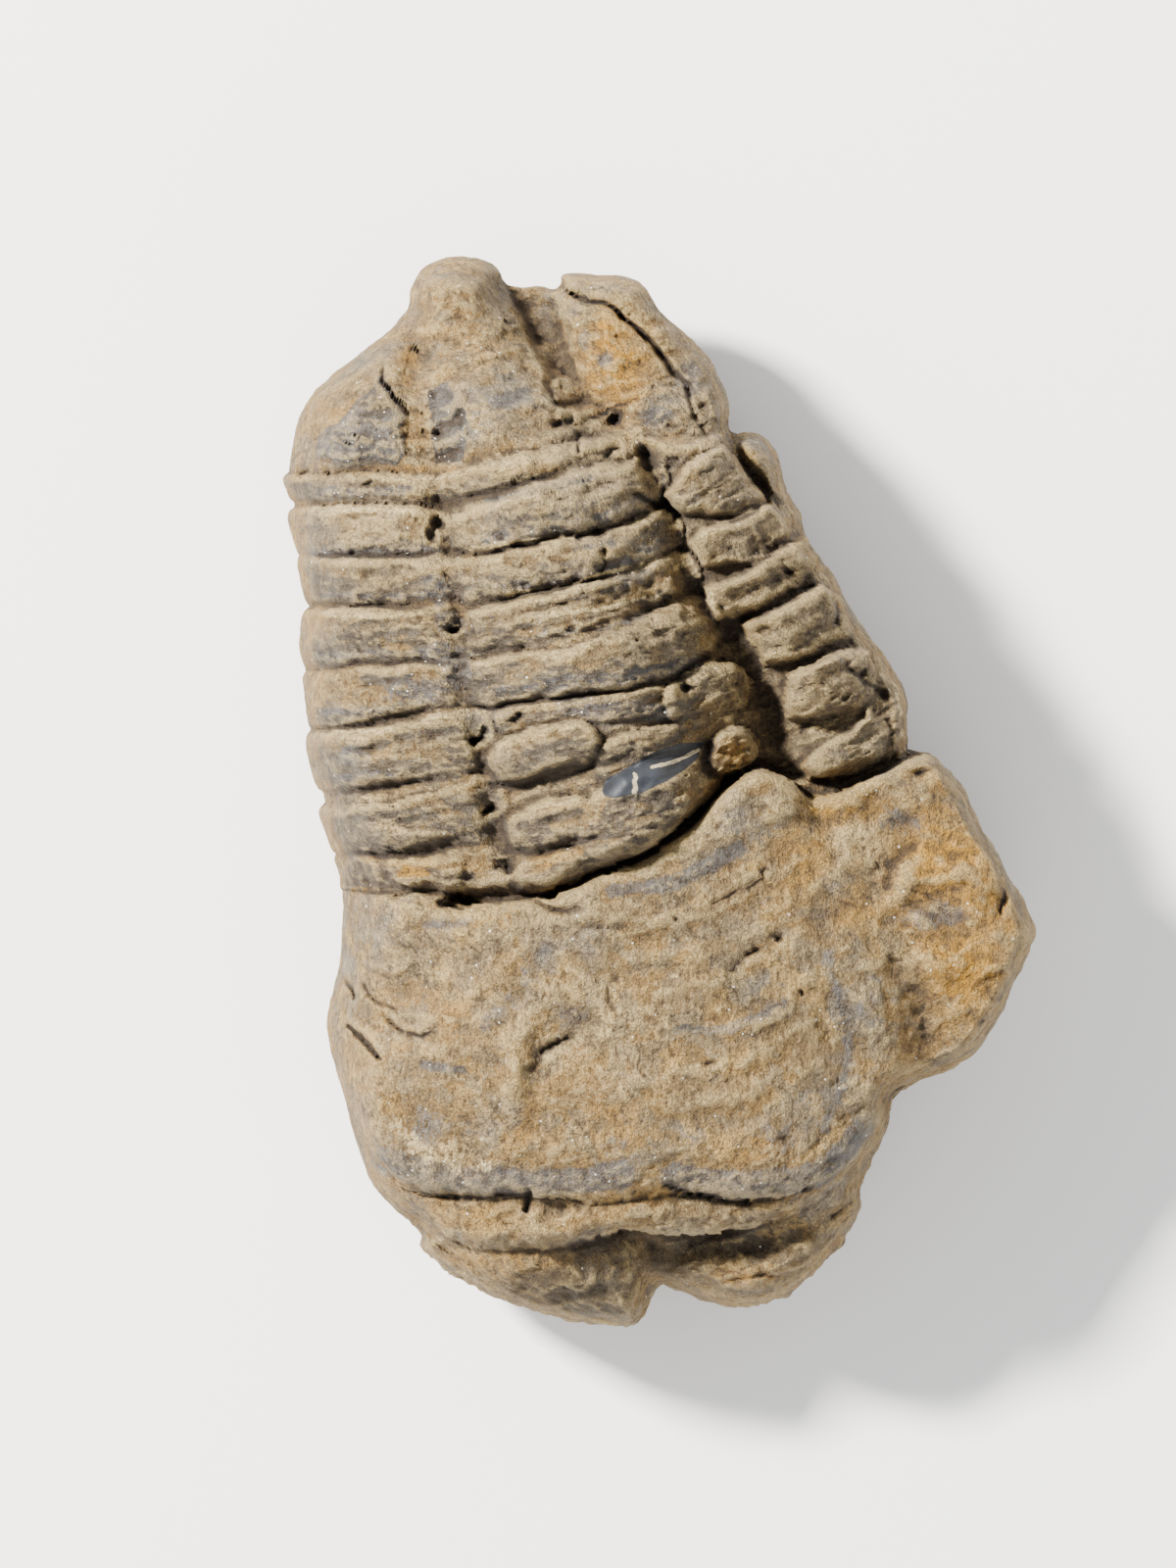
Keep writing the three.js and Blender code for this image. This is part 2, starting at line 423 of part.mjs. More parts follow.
// the floor of the crack between thorax and head
function crackFloor(x, y) {
  const trunk = meanHeight(TRUNK_HEIGHT, TRUNK_REACH, x, y);
  const head = meanHeight(HEAD_HEIGHT, HEAD_REACH, x, y);
  return Math.min(trunk, head) - CRACK_DEPTH + total(swell, CRACK_FILLS, x, y);
}
const CRACK_ZONE = [-11, 6];     // y between which the floor shows; beyond the feet it is far below

function bodyHeight(x, y) {
  const feet = Math.max(...[LEFT_FOOT, RIGHT_FOOT, SADDLE].map((ledge) => ledgeHeight(ledge, x, y)))
    - along(groove, RECESS, x, y);
  const forms = [trunkHeight(x, y), headHeight(x, y), ledgeHeight(LIP, x, y), feet];
  if (y > CRACK_ZONE[0] && y < CRACK_ZONE[1]) forms.push(crackFloor(x, y));
  return Math.max(12, ...forms);
}

// ---------------------------------------------------------------- the relief on it

// a broken rib end: its edge is rounded and its face leans, highest towards the axis and the tail
function blockHeight(block, x, y) {
  const count = block.ring.length;
  const [mx, my] = [0, 1].map((k) => block.ring.reduce((sum, point) => sum + point[k], 0) / count);
  const lean = THREE.MathUtils.clamp((0.6 * (y - my) - 0.9 * (x - mx)) / 3, -1, 1);
  return block.height * (1 + BLOCK_LEAN * lean) * roundedEdge(depthInside(block.ring, x, y), block.edge);
}

// what stands on the trunk: ribs, rings and blocks, less the furrows, which stop at a block
function relief(x, y) {
  if (depthInside(TRUNK_EDGE, x, y) <= 0) return 0;
  const blocks = Math.max(...RIGHT_BLOCKS.map((block) => blockHeight(block, x, y)));
  const cut = 1 - FURROW_STOP * Math.min(blocks / 1.5, 1);
  return highest(ridge, [...LEFT_RIBS, ...AXIS_RINGS, RIGHT_MARGIN], x, y)
    + blocks - cut * total(groove, FURROWS, x, y);
}

// ---------------------------------------------------------------- the grid

// even steps, but closer ones where a line starts or stops at the rim, as the back is steep there
function easedShare(share, closeStart = true, closeEnd = true) {
  const slope = 1 / (1 - (CLOSE_SHARE * (closeStart + closeEnd)) / 2);
  if (closeStart && share < CLOSE_SHARE) return (slope * share ** 2) / (2 * CLOSE_SHARE);
  if (closeEnd && share > 1 - CLOSE_SHARE) return 1 - (slope * (1 - share) ** 2) / (2 * CLOSE_SHARE);
  return slope * (share - (closeStart ? CLOSE_SHARE / 2 : 0));
}

// the points of a line at the given shares of its length
function pointsAt(line, shares) {
  const run = [0];
  for (let i = 1; i < line.length; i += 1) {
    run.push(run[i - 1] + Math.hypot(line[i][0] - line[i - 1][0], line[i][1] - line[i - 1][1]));
  }
  return shares.map((share) => {
    const goal = share * run[run.length - 1];
    let i = 1;
    while (i < line.length - 1 && run[i] < goal) i += 1;
    const t = (goal - run[i - 1]) / (run[i] - run[i - 1]);
    return [0, 1].map((k) => THREE.MathUtils.lerp(line[i - 1][k], line[i][k], t));
  });
}

// the stretch of the outline between two of its given points, clockwise
function outlineStretch(from, to) {
  const place = (point) => OUTLINE.findIndex((p) => p[0] === point[0] && p[1] === point[1]);
  const start = place(from) * CURVE_STEPS;
  const steps = (place(to) * CURVE_STEPS - start + outline.length) % outline.length;
  return Array.from({ length: steps + 1 }, (_, i) => outline[(start + i) % outline.length]);
}

const across = Array.from({ length: COLUMNS + 1 }, (_, i) => easedShare(i / COLUMNS));
const lines = [
  outlineStretch(...TAIL_CORNERS),
  smoothLine(THIRD_GROOVE),
  smoothLine(FIFTH_GROOVE),
  smoothLine(CRACK),
  smoothLine(HEAD_MARGIN),
  smoothLine(LIP_MARGIN),
  outlineStretch(FRONT_CORNERS[1], FRONT_CORNERS[0]).reverse(),
].map((line) => pointsAt(line, across));
const seams = [THIRD_GROOVE, FIFTH_GROOVE, CRACK, HEAD_MARGIN, LIP_MARGIN];
const ends = [TAIL_CORNERS, ...seams.map((seam) => [seam[0], seam.at(-1)]), FRONT_CORNERS];

// the rows of one band: each point blends the band's four sides (a Coons patch)
function bandRows(band) {
  const [top, bottom] = [lines[band], lines[band + 1]];
  const shares = Array.from({ length: BAND_ROWS[band] + 1 },
    (_, j) => easedShare(j / BAND_ROWS[band], band === 0, band === BAND_ROWS.length - 1));
  const left = pointsAt(outlineStretch(ends[band + 1][0], ends[band][0]).reverse(), shares);
  const right = pointsAt(outlineStretch(ends[band][1], ends[band + 1][1]), shares);
  return shares.map((v, j) => across.map((u, i) => [0, 1].map((k) => (1 - v) * top[i][k]
    + v * bottom[i][k] + (1 - u) * left[j][k] + u * right[j][k]
    - (1 - v) * ((1 - u) * left[0][k] + u * right[0][k])
    - v * ((1 - u) * left.at(-1)[k] + u * right.at(-1)[k]))));
}

// at a notch a band lays some grid points past the outline; these move to just inside it, and the
// nearer to the margin they were, the deeper
function settled(x, y) {
  const reach = Math.max(...NOTCHES.map(([nx, ny]) => Math.exp(-((x - nx) ** 2 + (y - ny) ** 2)
    / NOTCH_REACH ** 2)));
  const margin = NOTCH_MARGIN * reach + 0.01;
  const edge = nearestOn(outline, x, y, true);
  const inwards = isInside(outline, x, y) ? 1 : -1;
  const depth = edge.distance * inwards;
  if (depth > margin) return [x, y];
  const step = (margin * Math.exp(depth / margin - 1) - depth) * inwards;
  return [x + step * edge.way[0], y + step * edge.way[1]];
}

// the back over one grid point: the body's height bends over at the rim, and the relief stands on it
function backPoint(x, y) {
  const rim = meanHeight(RIM_HEIGHT, 6.6, x, y);
  const bend = meanHeight(RIM_BEND, 5.8, x, y);
  const edge = nearestOn(outline, x, y, true);
  const lean = 1 - Math.min(edge.distance / bend, 1);
  const upright = Math.sqrt(1 - lean * lean);
  const raised = relief(x, y);
  const ribbed = THREE.MathUtils.smoothstep(y, -8, -6) * (1 - THREE.MathUtils.smoothstep(y, 22, 25));
  const outward = lean * (RIM_SHARE * Math.max(raised, -RIM_INSET) - RIM_INSET * ribbed);
  return [
    x - outward * edge.way[0],
    y - outward * edge.way[1],
    rim + (bodyHeight(x, y) - rim) * upright + raised * upright,
  ];
}

// ---------------------------------------------------------------- the closed surface

const positions = [];
const faces = [];
const addPoint = (p) => positions.push(...p) / 3 - 1;

const rows = [bandRows(0)[0], ...BAND_ROWS.flatMap((_, band) => bandRows(band).slice(1))];
const ROWS = rows.length - 1;
const isRim = (i, j) => i === 0 || i === COLUMNS || j === 0 || j === ROWS;
const grid = rows.map((row, j) => row.map(([x, y], i) => addPoint(
  backPoint(...(isRim(i, j) ? [x, y] : settled(x, y))),
)));
for (let j = 0; j < ROWS; j += 1) {
  for (let i = 0; i < COLUMNS; i += 1) {
    const [a, b, c, d] = [grid[j][i], grid[j][i + 1], grid[j + 1][i + 1], grid[j + 1][i]];
    faces.push(a, d, c, a, c, b);
  }
}

// the grid's edge, clockwise seen from above, starting at the left of the tail
const rim = [];
for (let i = 0; i < COLUMNS; i += 1) rim.push(grid[0][i]);
for (let j = 0; j < ROWS; j += 1) rim.push(grid[j][COLUMNS]);
for (let i = COLUMNS; i > 0; i -= 1) rim.push(grid[ROWS][i]);
for (let j = ROWS; j > 0; j -= 1) rim.push(grid[j][0]);

// one ring of the flank: smaller and lower the further it is down, every second rim point
function flankRing(share) {
  const angle = share * FLANK_TURN;
  const inward = (1 - Math.cos(angle)) / (1 - Math.cos(FLANK_TURN));
  const down = Math.sin(angle) / Math.sin(FLANK_TURN);
  const ring = [];
  for (let i = 0; i < rim.length; i += 2) {
    const [x, y, z] = positions.slice(3 * rim[i], 3 * rim[i] + 3);
    const turn = Math.atan2(y / BASE_OVAL[1], x / BASE_OVAL[0]);
    const base = [
      THREE.MathUtils.lerp(x * (1 - BASE_SHRINK), BASE_OVAL[0] * Math.cos(turn), BASE_ROUND),
      THREE.MathUtils.lerp(y * (1 - BASE_SHRINK), BASE_OVAL[1] * Math.sin(turn), BASE_ROUND),
    ];
    ring.push(addPoint([
      THREE.MathUtils.lerp(x, base[0], inward),
      THREE.MathUtils.lerp(y, base[1], inward),
      z * (1 - down),
    ]));
  }
  return ring;
}

// from the rim to the first ring, two steps above meet one below
let upper = flankRing(1 / FLANK_RINGS);
for (let k = 0; k < upper.length; k += 1) {
  const [a, b, c] = [rim[2 * k], rim[2 * k + 1], rim[(2 * k + 2) % rim.length]];
  const [d, e] = [upper[k], upper[(k + 1) % upper.length]];
  faces.push(a, b, d, b, e, d, b, c, e);
}
for (let row = 2; row <= FLANK_RINGS; row += 1) {
  const lower = flankRing(row / FLANK_RINGS);
  for (let k = 0; k < upper.length; k += 1) {
    const next = (k + 1) % upper.length;
    faces.push(upper[k], upper[next], lower[next], upper[k], lower[next], lower[k]);
  }
  upper = lower;
}

// the flat base closes the lowest ring; the ring runs clockwise from above, so it faces down
const baseOutline = upper.map((p) => new THREE.Vector2(positions[3 * p], positions[3 * p + 1]));
for (const [a, b, c] of THREE.ShapeUtils.triangulateShape(baseOutline, [])) {
  const [p, q, r] = [baseOutline[a], baseOutline[b], baseOutline[c]];
  const turnsLeft = (q.x - p.x) * (r.y - p.y) - (q.y - p.y) * (r.x - p.x) > 0;
  faces.push(upper[a], ...(turnsLeft ? [upper[c], upper[b]] : [upper[b], upper[c]]));
}

// ---------------------------------------------------------------- the stone

const geometry = new THREE.BufferGeometry();
geometry.setAttribute('position', new THREE.Float32BufferAttribute(positions, 3));
geometry.setIndex(faces);
geometry.computeBoundingBox();
const middle = geometry.boundingBox.getCenter(new THREE.Vector3());
geometry.translate(-middle.x, -middle.y, -geometry.boundingBox.min.z);
geometry.computeVertexNormals();

const stone = new THREE.Mesh(geometry, new THREE.MeshStandardMaterial(STONE));
stone.name = 'trilobite_fossil';

const group = new THREE.Group();
group.add(stone);

export default group;
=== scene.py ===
# %% [markdown]
# # A fossil trilobite, form by form
#
# The object is a trilobite about 8 cm long that was turned to stone with some of the mud around it.
# It lies on its belly: three lobes of ribs in the middle, the tail at +Y, the broad head at -Y,
# and below the head a lip and two stumps of rock.  The whole stone is one closed surface.
#
# A stone like this could be sculpted by hand, but then no form would have a size that can be read
# or changed.  Here the back is a sum of simple named forms over a plan in millimetres: a smooth
# body, then ribs and furrows, then cracks, pits and broken shell, and at last the grain.

# %% Load the frame
import math

import bpy
import numpy as np
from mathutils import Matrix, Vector


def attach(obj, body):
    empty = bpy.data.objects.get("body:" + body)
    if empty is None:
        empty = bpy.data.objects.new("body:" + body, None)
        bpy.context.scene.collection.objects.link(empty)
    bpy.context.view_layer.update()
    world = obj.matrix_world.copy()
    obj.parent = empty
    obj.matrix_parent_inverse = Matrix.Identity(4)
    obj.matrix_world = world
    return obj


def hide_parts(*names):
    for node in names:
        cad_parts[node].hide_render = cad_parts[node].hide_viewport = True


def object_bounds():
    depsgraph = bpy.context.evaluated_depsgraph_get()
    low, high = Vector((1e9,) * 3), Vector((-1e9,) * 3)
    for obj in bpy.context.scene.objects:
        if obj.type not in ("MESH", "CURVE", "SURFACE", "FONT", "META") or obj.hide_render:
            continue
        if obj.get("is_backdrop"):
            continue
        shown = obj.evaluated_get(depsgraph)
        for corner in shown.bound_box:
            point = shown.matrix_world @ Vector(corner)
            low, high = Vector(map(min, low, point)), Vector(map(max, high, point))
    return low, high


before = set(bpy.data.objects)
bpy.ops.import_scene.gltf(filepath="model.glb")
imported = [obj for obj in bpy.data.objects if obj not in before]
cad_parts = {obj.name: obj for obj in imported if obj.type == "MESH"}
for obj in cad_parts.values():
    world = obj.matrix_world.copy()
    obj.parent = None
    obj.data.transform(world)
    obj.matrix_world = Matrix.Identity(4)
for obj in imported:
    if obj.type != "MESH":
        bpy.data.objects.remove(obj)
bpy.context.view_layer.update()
MM = 0.001

# %% [markdown]
# ## Camera and light
#
# The stone is seen from straight above.  A long lens from far away keeps near and far parts at
# almost the same scale, so the plan below can be compared with the view directly.  The light is
# that of a bright day by a window: one soft main light high on the tail's left, so every rib
# shades the groove on its head side, a broad weak one against it, and a pale floor all round.

# %% Camera
VIEW_CENTRE = (-5.33, 0.58)      # mm, the point of the plan in the middle of the view
VIEW_HEIGHT = 116.8              # mm that the view shows from bottom to top
VIEW_LEVEL = 14.0                # mm above the floor, where that height is measured
CAMERA_DISTANCE = 2.5            # m above that level
SENSOR = 36.0                    # mm

camera_data = bpy.data.cameras.new("camera")
camera_data.sensor_fit = "VERTICAL"
camera_data.sensor_height = SENSOR
camera_data.lens = SENSOR * CAMERA_DISTANCE / (VIEW_HEIGHT * MM)
camera_data.clip_end = 20
camera = bpy.data.objects.new("camera", camera_data)
camera.location = (VIEW_CENTRE[0] * MM, VIEW_CENTRE[1] * MM, CAMERA_DISTANCE + VIEW_LEVEL * MM)
bpy.context.scene.collection.objects.link(camera)
bpy.context.scene.camera = camera
print("lens, mm:", round(camera_data.lens))

# %% Lights
def area_light(name, place, size, power, warmth):
    """A square lamp of that size in metres, turned so that it shines at the middle of the stone."""
    lamp = bpy.data.lights.new(name, "AREA")
    lamp.size = size
    lamp.energy = power
    lamp.color = warmth
    holder = bpy.data.objects.new(name, lamp)
    holder.location = place
    holder.rotation_euler = (Vector((0, 0, 0.02)) - holder.location).to_track_quat("-Z", "Y").to_euler()
    bpy.context.scene.collection.objects.link(holder)
    return holder


area_light("main_light", (-0.49, 0.30, 0.64), 0.11, 36, (1.0, 0.96, 0.90))
area_light("fill_light", (0.20, -0.55, 0.75), 0.90, 5, (1.0, 0.99, 0.96))
print("lamps:", [lamp.name for lamp in bpy.data.lights])

world = bpy.data.worlds.new("studio")
bpy.context.scene.world = world
world.use_nodes = True
world.node_tree.nodes["Background"].inputs["Color"].default_value = (0.97, 0.98, 1.0, 1)
world.node_tree.nodes["Background"].inputs["Strength"].default_value = 0.9

# %% [markdown]
# ## Distances to lines
#
# Every form on the back is placed by a line or a ring drawn in the plan.  What a form needs to know
# is how far each point is from that line, and how far along it the nearest place is.  A mesh could
# be cut along such lines, but a distance gives a rounded section of any width with no cut at all.

# %% Lines, rings and distances
LINE_STEPS = 5                   # points on a smooth line between two given ones


def smooth_line(points, closed=False):
    """A Catmull-Rom line: between two points it is the cubic whose slope at each point is half the
    way from the point before it to the point after it."""
    points = np.array(points, float)
    if closed:
        ring = np.vstack([points[-1:], points, points[:2]])
    else:
        ring = np.vstack([2 * points[0] - points[1], points, 2 * points[-1] - points[-2]])
    a, b, c, d = (ring[i:len(ring) - 3 + i, None] for i in range(4))
    t = (np.arange(LINE_STEPS) / LINE_STEPS)[None, :, None]
    line = 0.5 * (2 * b + (c - a) * t + (2 * a - 5 * b + 4 * c - d) * t ** 2
                  + (3 * b - a - 3 * c + d) * t ** 3)
    line = line.reshape(-1, 2)
    return line if closed else np.vstack([line, points[-1]])


def nearest_on(line, x, y, closed=False):
    """For each point the nearest place on a line of straight steps: the distance, the unit vector
    from there to the point (to the line's right where they are one), the share of the line's
    length, and how far the point is to the line's left."""
    line = np.vstack([line, line[:1]]) if closed else line
    best = np.full(x.shape, np.inf)
    way_x, way_y, place, side = (np.zeros(x.shape) for _ in range(4))
    start = 0.0
    for (ax, ay), (bx, by) in zip(line[:-1], line[1:]):
        length = math.hypot(bx - ax, by - ay)
        ux, uy = (bx - ax) / length, (by - ay) / length
        run = np.clip((x - ax) * ux + (y - ay) * uy, 0, length)
        ex, ey = x - ax - run * ux, y - ay - run * uy
        square = ex * ex + ey * ey
        nearer = square < best
        best = np.where(nearer, square, best)
        apart = square > 1e-6
        away = np.sqrt(np.maximum(square, 1e-6))
        way_x = np.where(nearer, np.where(apart, ex / away, uy), way_x)
        way_y = np.where(nearer, np.where(apart, ey / away, -ux), way_y)
        place = np.where(nearer, start + run, place)
        side = np.where(nearer, ux * ey - uy * ex, side)
        start += length
    return np.sqrt(best), way_x, way_y, place / start, side


def is_inside(ring, x, y):
    """A point is inside a ring if a ray from it to the right crosses the ring an odd number of
    times."""
    odd = np.zeros(x.shape, bool)
    for (ax, ay), (bx, by) in zip(ring, np.roll(ring, -1, 0)):
        if ay != by:
            odd ^= ((ay > y) != (by > y)) & (x < (bx - ax) * (y - ay) / (by - ay) + ax)
    return odd


def depth_inside(ring, x, y):
    """Distance to the ring, above 0 inside and below 0 outside."""
    ring = np.array(ring, float)
    distance = nearest_on(ring, x, y, closed=True)[0]
    return np.where(is_inside(ring, x, y), distance, -distance)


def ease(low, high, value):
    """0 below low, 1 above high, and between them 3 t squared less 2 t cubed."""
    t = np.clip((value - low) / (high - low), 0, 1)
    return t * t * (3 - 2 * t)


def rounded_edge(depth, width):
    """0 at an edge and 1 from the given width on: 1 less the square of the share still to go."""
    return 1 - (1 - np.clip(depth / width, 0, 1)) ** 2


place = np.array([1.0])
print("depth of the place 1, 1 inside a square of 2 mm:",
      depth_inside([[0, 0], [2, 0], [2, 2], [0, 2]], place, place))

# %% [markdown]
# ## Strokes
#
# A stroke is a line with a half width and a height, either one number each or a list spread along
# the line.  Three sections turn it into a form: a full round ridge for ribs, a soft swell for the
# lobes, and a groove for furrows, cracks and slits.  Only points near the line are worked out.

# %% Sections along a stroke
def ridge(c):
    """A flat back with steep sides: the square root of 1 - c to the fourth, 0 outside."""
    return np.sqrt(np.clip(1 - c ** 4, 0, 1))


def swell(c):
    """A soft bump with no edge: (1 - c squared) squared, 0 outside."""
    return np.clip(1 - c * c, 0, 1) ** 2


def groove(c):
    """A bell: e to the power of minus c squared."""
    return np.exp(-c * c)


def spread(value, share):
    """A value at a share of the line: one number, or a list spaced evenly along it."""
    value = np.atleast_1d(value)
    return np.interp(share, np.linspace(0, 1, len(value)), value)


def along(section, stroke, x, y, tilt=0.0):
    """The stroke's height at each point: height x section(distance / half width), and with a tilt
    the line's left side stands higher by that share than its right side."""
    line, half, height = stroke
    line = smooth_line(line) if len(line) > 2 else np.array(line, float)
    reach = 2.6 * np.max(half)
    low, high = line.min(0) - reach, line.max(0) + reach
    near = (x > low[0]) & (x < high[0]) & (y > low[1]) & (y < high[1])
    result = np.zeros(x.shape)
    if near.any():
        distance, _, _, share, side = nearest_on(line, x[near], y[near])
        width = spread(half, share)
        result[near] = (spread(height, share) * section(distance / width)
                        * (1 + tilt * np.clip(side / width, -1, 1)))
    return result


def total(section, strokes, x, y):
    """The sum of several strokes."""
    return sum(along(section, stroke, x, y) for stroke in strokes)


def highest(fields):
    """At each point the highest of several fields."""
    return np.maximum.reduce(list(fields))


def mean_height(heights, reach, x, y):
    """The mean of scattered heights [x, y, height], weighted by a bell of that reach round each."""
    weighted, weight = np.zeros(x.shape), np.full(x.shape, 1e-12)
    for px, py, height in heights:
        bell = np.exp(-((x - px) ** 2 + (y - py) ** 2) / reach ** 2)
        weighted += bell * height
        weight += bell
    return weighted / weight


print("heights halfway out: ridge", round(float(ridge(0.5)), 2), " swell", round(float(swell(0.5)), 2),
      " groove", round(float(groove(0.5)), 2))

# %% [markdown]
# ## Noise
#
# Stone is never even.  Blender's noise textures only work on colours and bumps, and here the mesh
# itself has to be uneven too, so the same kind of noise is written out in numpy.  Fixed seeds make
# it the same each time.

# %% Lattice noise
SLOPES = np.random.default_rng(7).normal(size=(1024, 3))
SLOPES /= np.linalg.norm(SLOPES, axis=1, keepdims=True)
CORNERS = np.array([(i, j, k) for i in (0, 1) for j in (0, 1) for k in (0, 1)])


def lattice_noise(points, seed):
    """Smooth noise of about -1 to 1 over a lattice of unit cubes.  Each corner has a random slope;
    a point gets the mean of the eight corners' planes, weighted by 6 t^5 - 15 t^4 + 10 t^3."""
    cell = np.floor(points).astype(np.int64)
    part = points - cell
    weight = part ** 3 * (part * (part * 6 - 15) + 10)
    result = np.zeros(points.shape[:-1])
    for corner in CORNERS:
        key = ((cell + corner) * (73856093, 19349663, 83492791)).sum(-1) + seed * 2654435761
        key = (key ^ (key >> 13)) * 1274126177
        slope = SLOPES[(key ^ (key >> 16)) & 1023]
        share = np.where(corner, weight, 1 - weight).prod(-1)
        result += share * (slope * (part - corner)).sum(-1)
    return 1.5 * result


def stepped(value):
    """Whole steps with a steep rise between them: a value's whole part + an ease of the rest."""
    whole = np.floor(value)
    return whole + ease(0.72, 1, value - whole)


def rough_noise(points, size, octaves, seed, keep=0.5):
    """Several noises on top of each other, each half as wide and keep times as high as the one
    before it; size is the width of the widest in mm."""
    layers = range(octaves)
    height = sum(keep ** k * lattice_noise(points * 2 ** k / size, seed + k) for k in layers)
    return height / sum(keep ** k for k in layers)


print("noise in the middle of two of the cubes:",
      np.round(lattice_noise(np.array([[0.5, 0.5, 0.5], [1.5, 1.5, 1.5]]), 1), 2))

# %% [markdown]
# ## The outline and the grid
#
# The back is a grid inside the stone's outline.  On a plain grid the ribs would cross the rows at a
# slant and get saw-toothed edges, so the plan is cut into six bands whose borders follow two
# grooves, the crack behind the head, and the margins of head and lip.  Each band is a Coons patch:
# its four border lines blended across it.

# %% Outline and border lines, mm
OUTLINE = [
    [-16.1, 39.7], [-14.5, 39.9], [-12.8, 39.5], [-12, 38.8], [-11.6, 38], [-9.3, 37.9],
    [-7.7, 37.8], [-7.4, 38.6], [-5.3, 38.6], [-1.7, 38], [-0.1, 36], [2.3, 33.8], [3.9, 31.9],
    [5, 29.4], [5.3, 27], [6.2, 26.9], [7.6, 26.4], [8.5, 25.2], [9.6, 22.4], [10.5, 20.7],
    [10.9, 19], [13, 16.1], [14.2, 13.7], [16.4, 10.6], [18.2, 7.6], [18.5, 5], [18.5, 3.2],
    [19.6, 3.2], [20.7, 2.7], [22.6, 0.5], [24.2, -2.9], [25.7, -5.3], [27.2, -8.8], [27.8, -10.6],
    [27.2, -12.2], [25.5, -16.2], [22.8, -19.9], [18.8, -21.7], [17.2, -22.7], [16.9, -25],
    [15.1, -29.2], [15, -31.4], [12.6, -34.8], [9.3, -37.7], [5.3, -38.5], [1.2, -37.2],
    [-0.1, -36.9], [-1.3, -39.1], [-2.4, -39.9], [-6.4, -39.6], [-11.2, -38.3], [-14.5, -36.7],
    [-17.7, -34.3], [-18.2, -32.6], [-21.2, -29.6], [-22.6, -26.4], [-23.4, -23.4],
    [-24.6, -18.5], [-24.7, -16.4], [-23.9, -12.6], [-23.8, -7.8], [-24.4, -4.4], [-25.3, -1],
    [-25.8, 1.7], [-26.3, 5.5], [-26.4, 8.6], [-26.7, 10.8], [-26.4, 13.8], [-27, 17.7],
    [-27.4, 20.1], [-27.8, 23.9], [-27.1, 27.2], [-25.7, 29.8], [-22.8, 32.3], [-20.6, 34.2],
    [-19.1, 36.1], [-18.9, 37.2], [-17.7, 38.9],
]
TAIL_CORNERS = [[-27.1, 27.2], [8.5, 25.2]]
THIRD_GROOVE = [
    [-26.4, 13.8], [-19.9, 13.6], [-15.3, 13.7], [-8.5, 14.9], [-5.2, 15.6], [-1.5, 16.6],
    [1.2, 18.1], [3.2, 20.2], [5.1, 20.5], [7.9, 21.8], [9.6, 22.4],
]
FIFTH_GROOVE = [
    [-26.3, 5.5], [-22, 5.1], [-17.2, 6], [-13.4, 6.3], [-5.3, 7.2], [2, 8.6], [7.3, 9], [10, 9.6],
    [13.4, 10.4], [16.4, 10.6],
]
CRACK = [
    [-23.8, -7.8], [-16.3, -7.7], [-11.2, -8.1], [-6.8, -7.1], [-4.7, -6], [-1.8, -5], [2, -2.7],
    [4.7, 0.3], [7, 1.9], [9.3, 0.9], [12.7, 0.2], [15.8, 1.5], [18.5, 3.2],
]
HEAD_MARGIN = [
    [-23.4, -23.4], [-21.2, -26.6], [-17.6, -29.2], [-12.6, -30.2], [-9.3, -30.1], [-5.3, -30.5],
    [-2.4, -30.2], [2, -29.9], [6.7, -30.2], [11, -28.9], [12.8, -26.6],
    [13.6, -24.2], [14.9, -22.6], [17.2, -22.7],
]
LIP_MARGIN = [
    [-22.6, -26.4], [-20.6, -27.9], [-18.9, -30.2], [-16.9, -31.8], [-14, -33.3], [-11.2, -34],
    [-6.8, -33.6], [-2.4, -32.7], [2, -32.8], [6.5, -32.4], [10.1, -31.3], [12.8, -30.1],
    [15.1, -29.2],
]
FRONT_CORNERS = [[-17.7, -34.3], [12.6, -34.8]]
print("points of the outline:", len(OUTLINE))

# %% The grid in plan
COLUMNS = 232                    # steps across the back
BAND_ROWS = [88, 44, 68, 88, 20, 38]    # steps along it in each band, from tail to head
CLOSE_SHARE = 0.14               # share of a line, at each rim, where the steps get closer


def eased_shares(steps, close_start=True, close_end=True):
    """Shares from 0 to 1 in even steps, but growing as a square over the first and shrinking over
    the last CLOSE_SHARE, because the back is steep at its rim."""
    share = np.arange(steps + 1) / steps
    slope = 1 / (1 - CLOSE_SHARE * (close_start + close_end) / 2)
    result = slope * (share - (CLOSE_SHARE / 2 if close_start else 0))
    if close_start:
        result = np.where(share < CLOSE_SHARE, slope * share ** 2 / (2 * CLOSE_SHARE), result)
    if close_end:
        end = 1 - slope * (1 - share) ** 2 / (2 * CLOSE_SHARE)
        result = np.where(share > 1 - CLOSE_SHARE, end, result)
    return result


def points_at(line, shares):
    """Points of a line at the given shares of its length."""
    run = np.concatenate([[0], np.cumsum(np.hypot(*np.diff(line, axis=0).T))])
    goal = shares * run[-1]
    return np.stack([np.interp(goal, run, line[:, 0]), np.interp(goal, run, line[:, 1])], -1)


def outline_stretch(start, end):
    """The outline's points from one of its given points to another, clockwise."""
    first = OUTLINE.index(start) * LINE_STEPS
    steps = (OUTLINE.index(end) * LINE_STEPS - first) % len(outline)
    return outline[(first + np.arange(steps + 1)) % len(outline)]


def coons_band(top, bottom, left, right, across, down):
    """A Coons patch: (1-v) top + v bottom + (1-u) left + u right, less the four corners blended."""
    u, v = across[None, :, None], down[:, None, None]
    corners = ((1 - v) * ((1 - u) * left[0] + u * right[0])
               + v * ((1 - u) * left[-1] + u * right[-1]))
    return (1 - v) * top + v * bottom + (1 - u) * left[:, None] + u * right[:, None] - corners


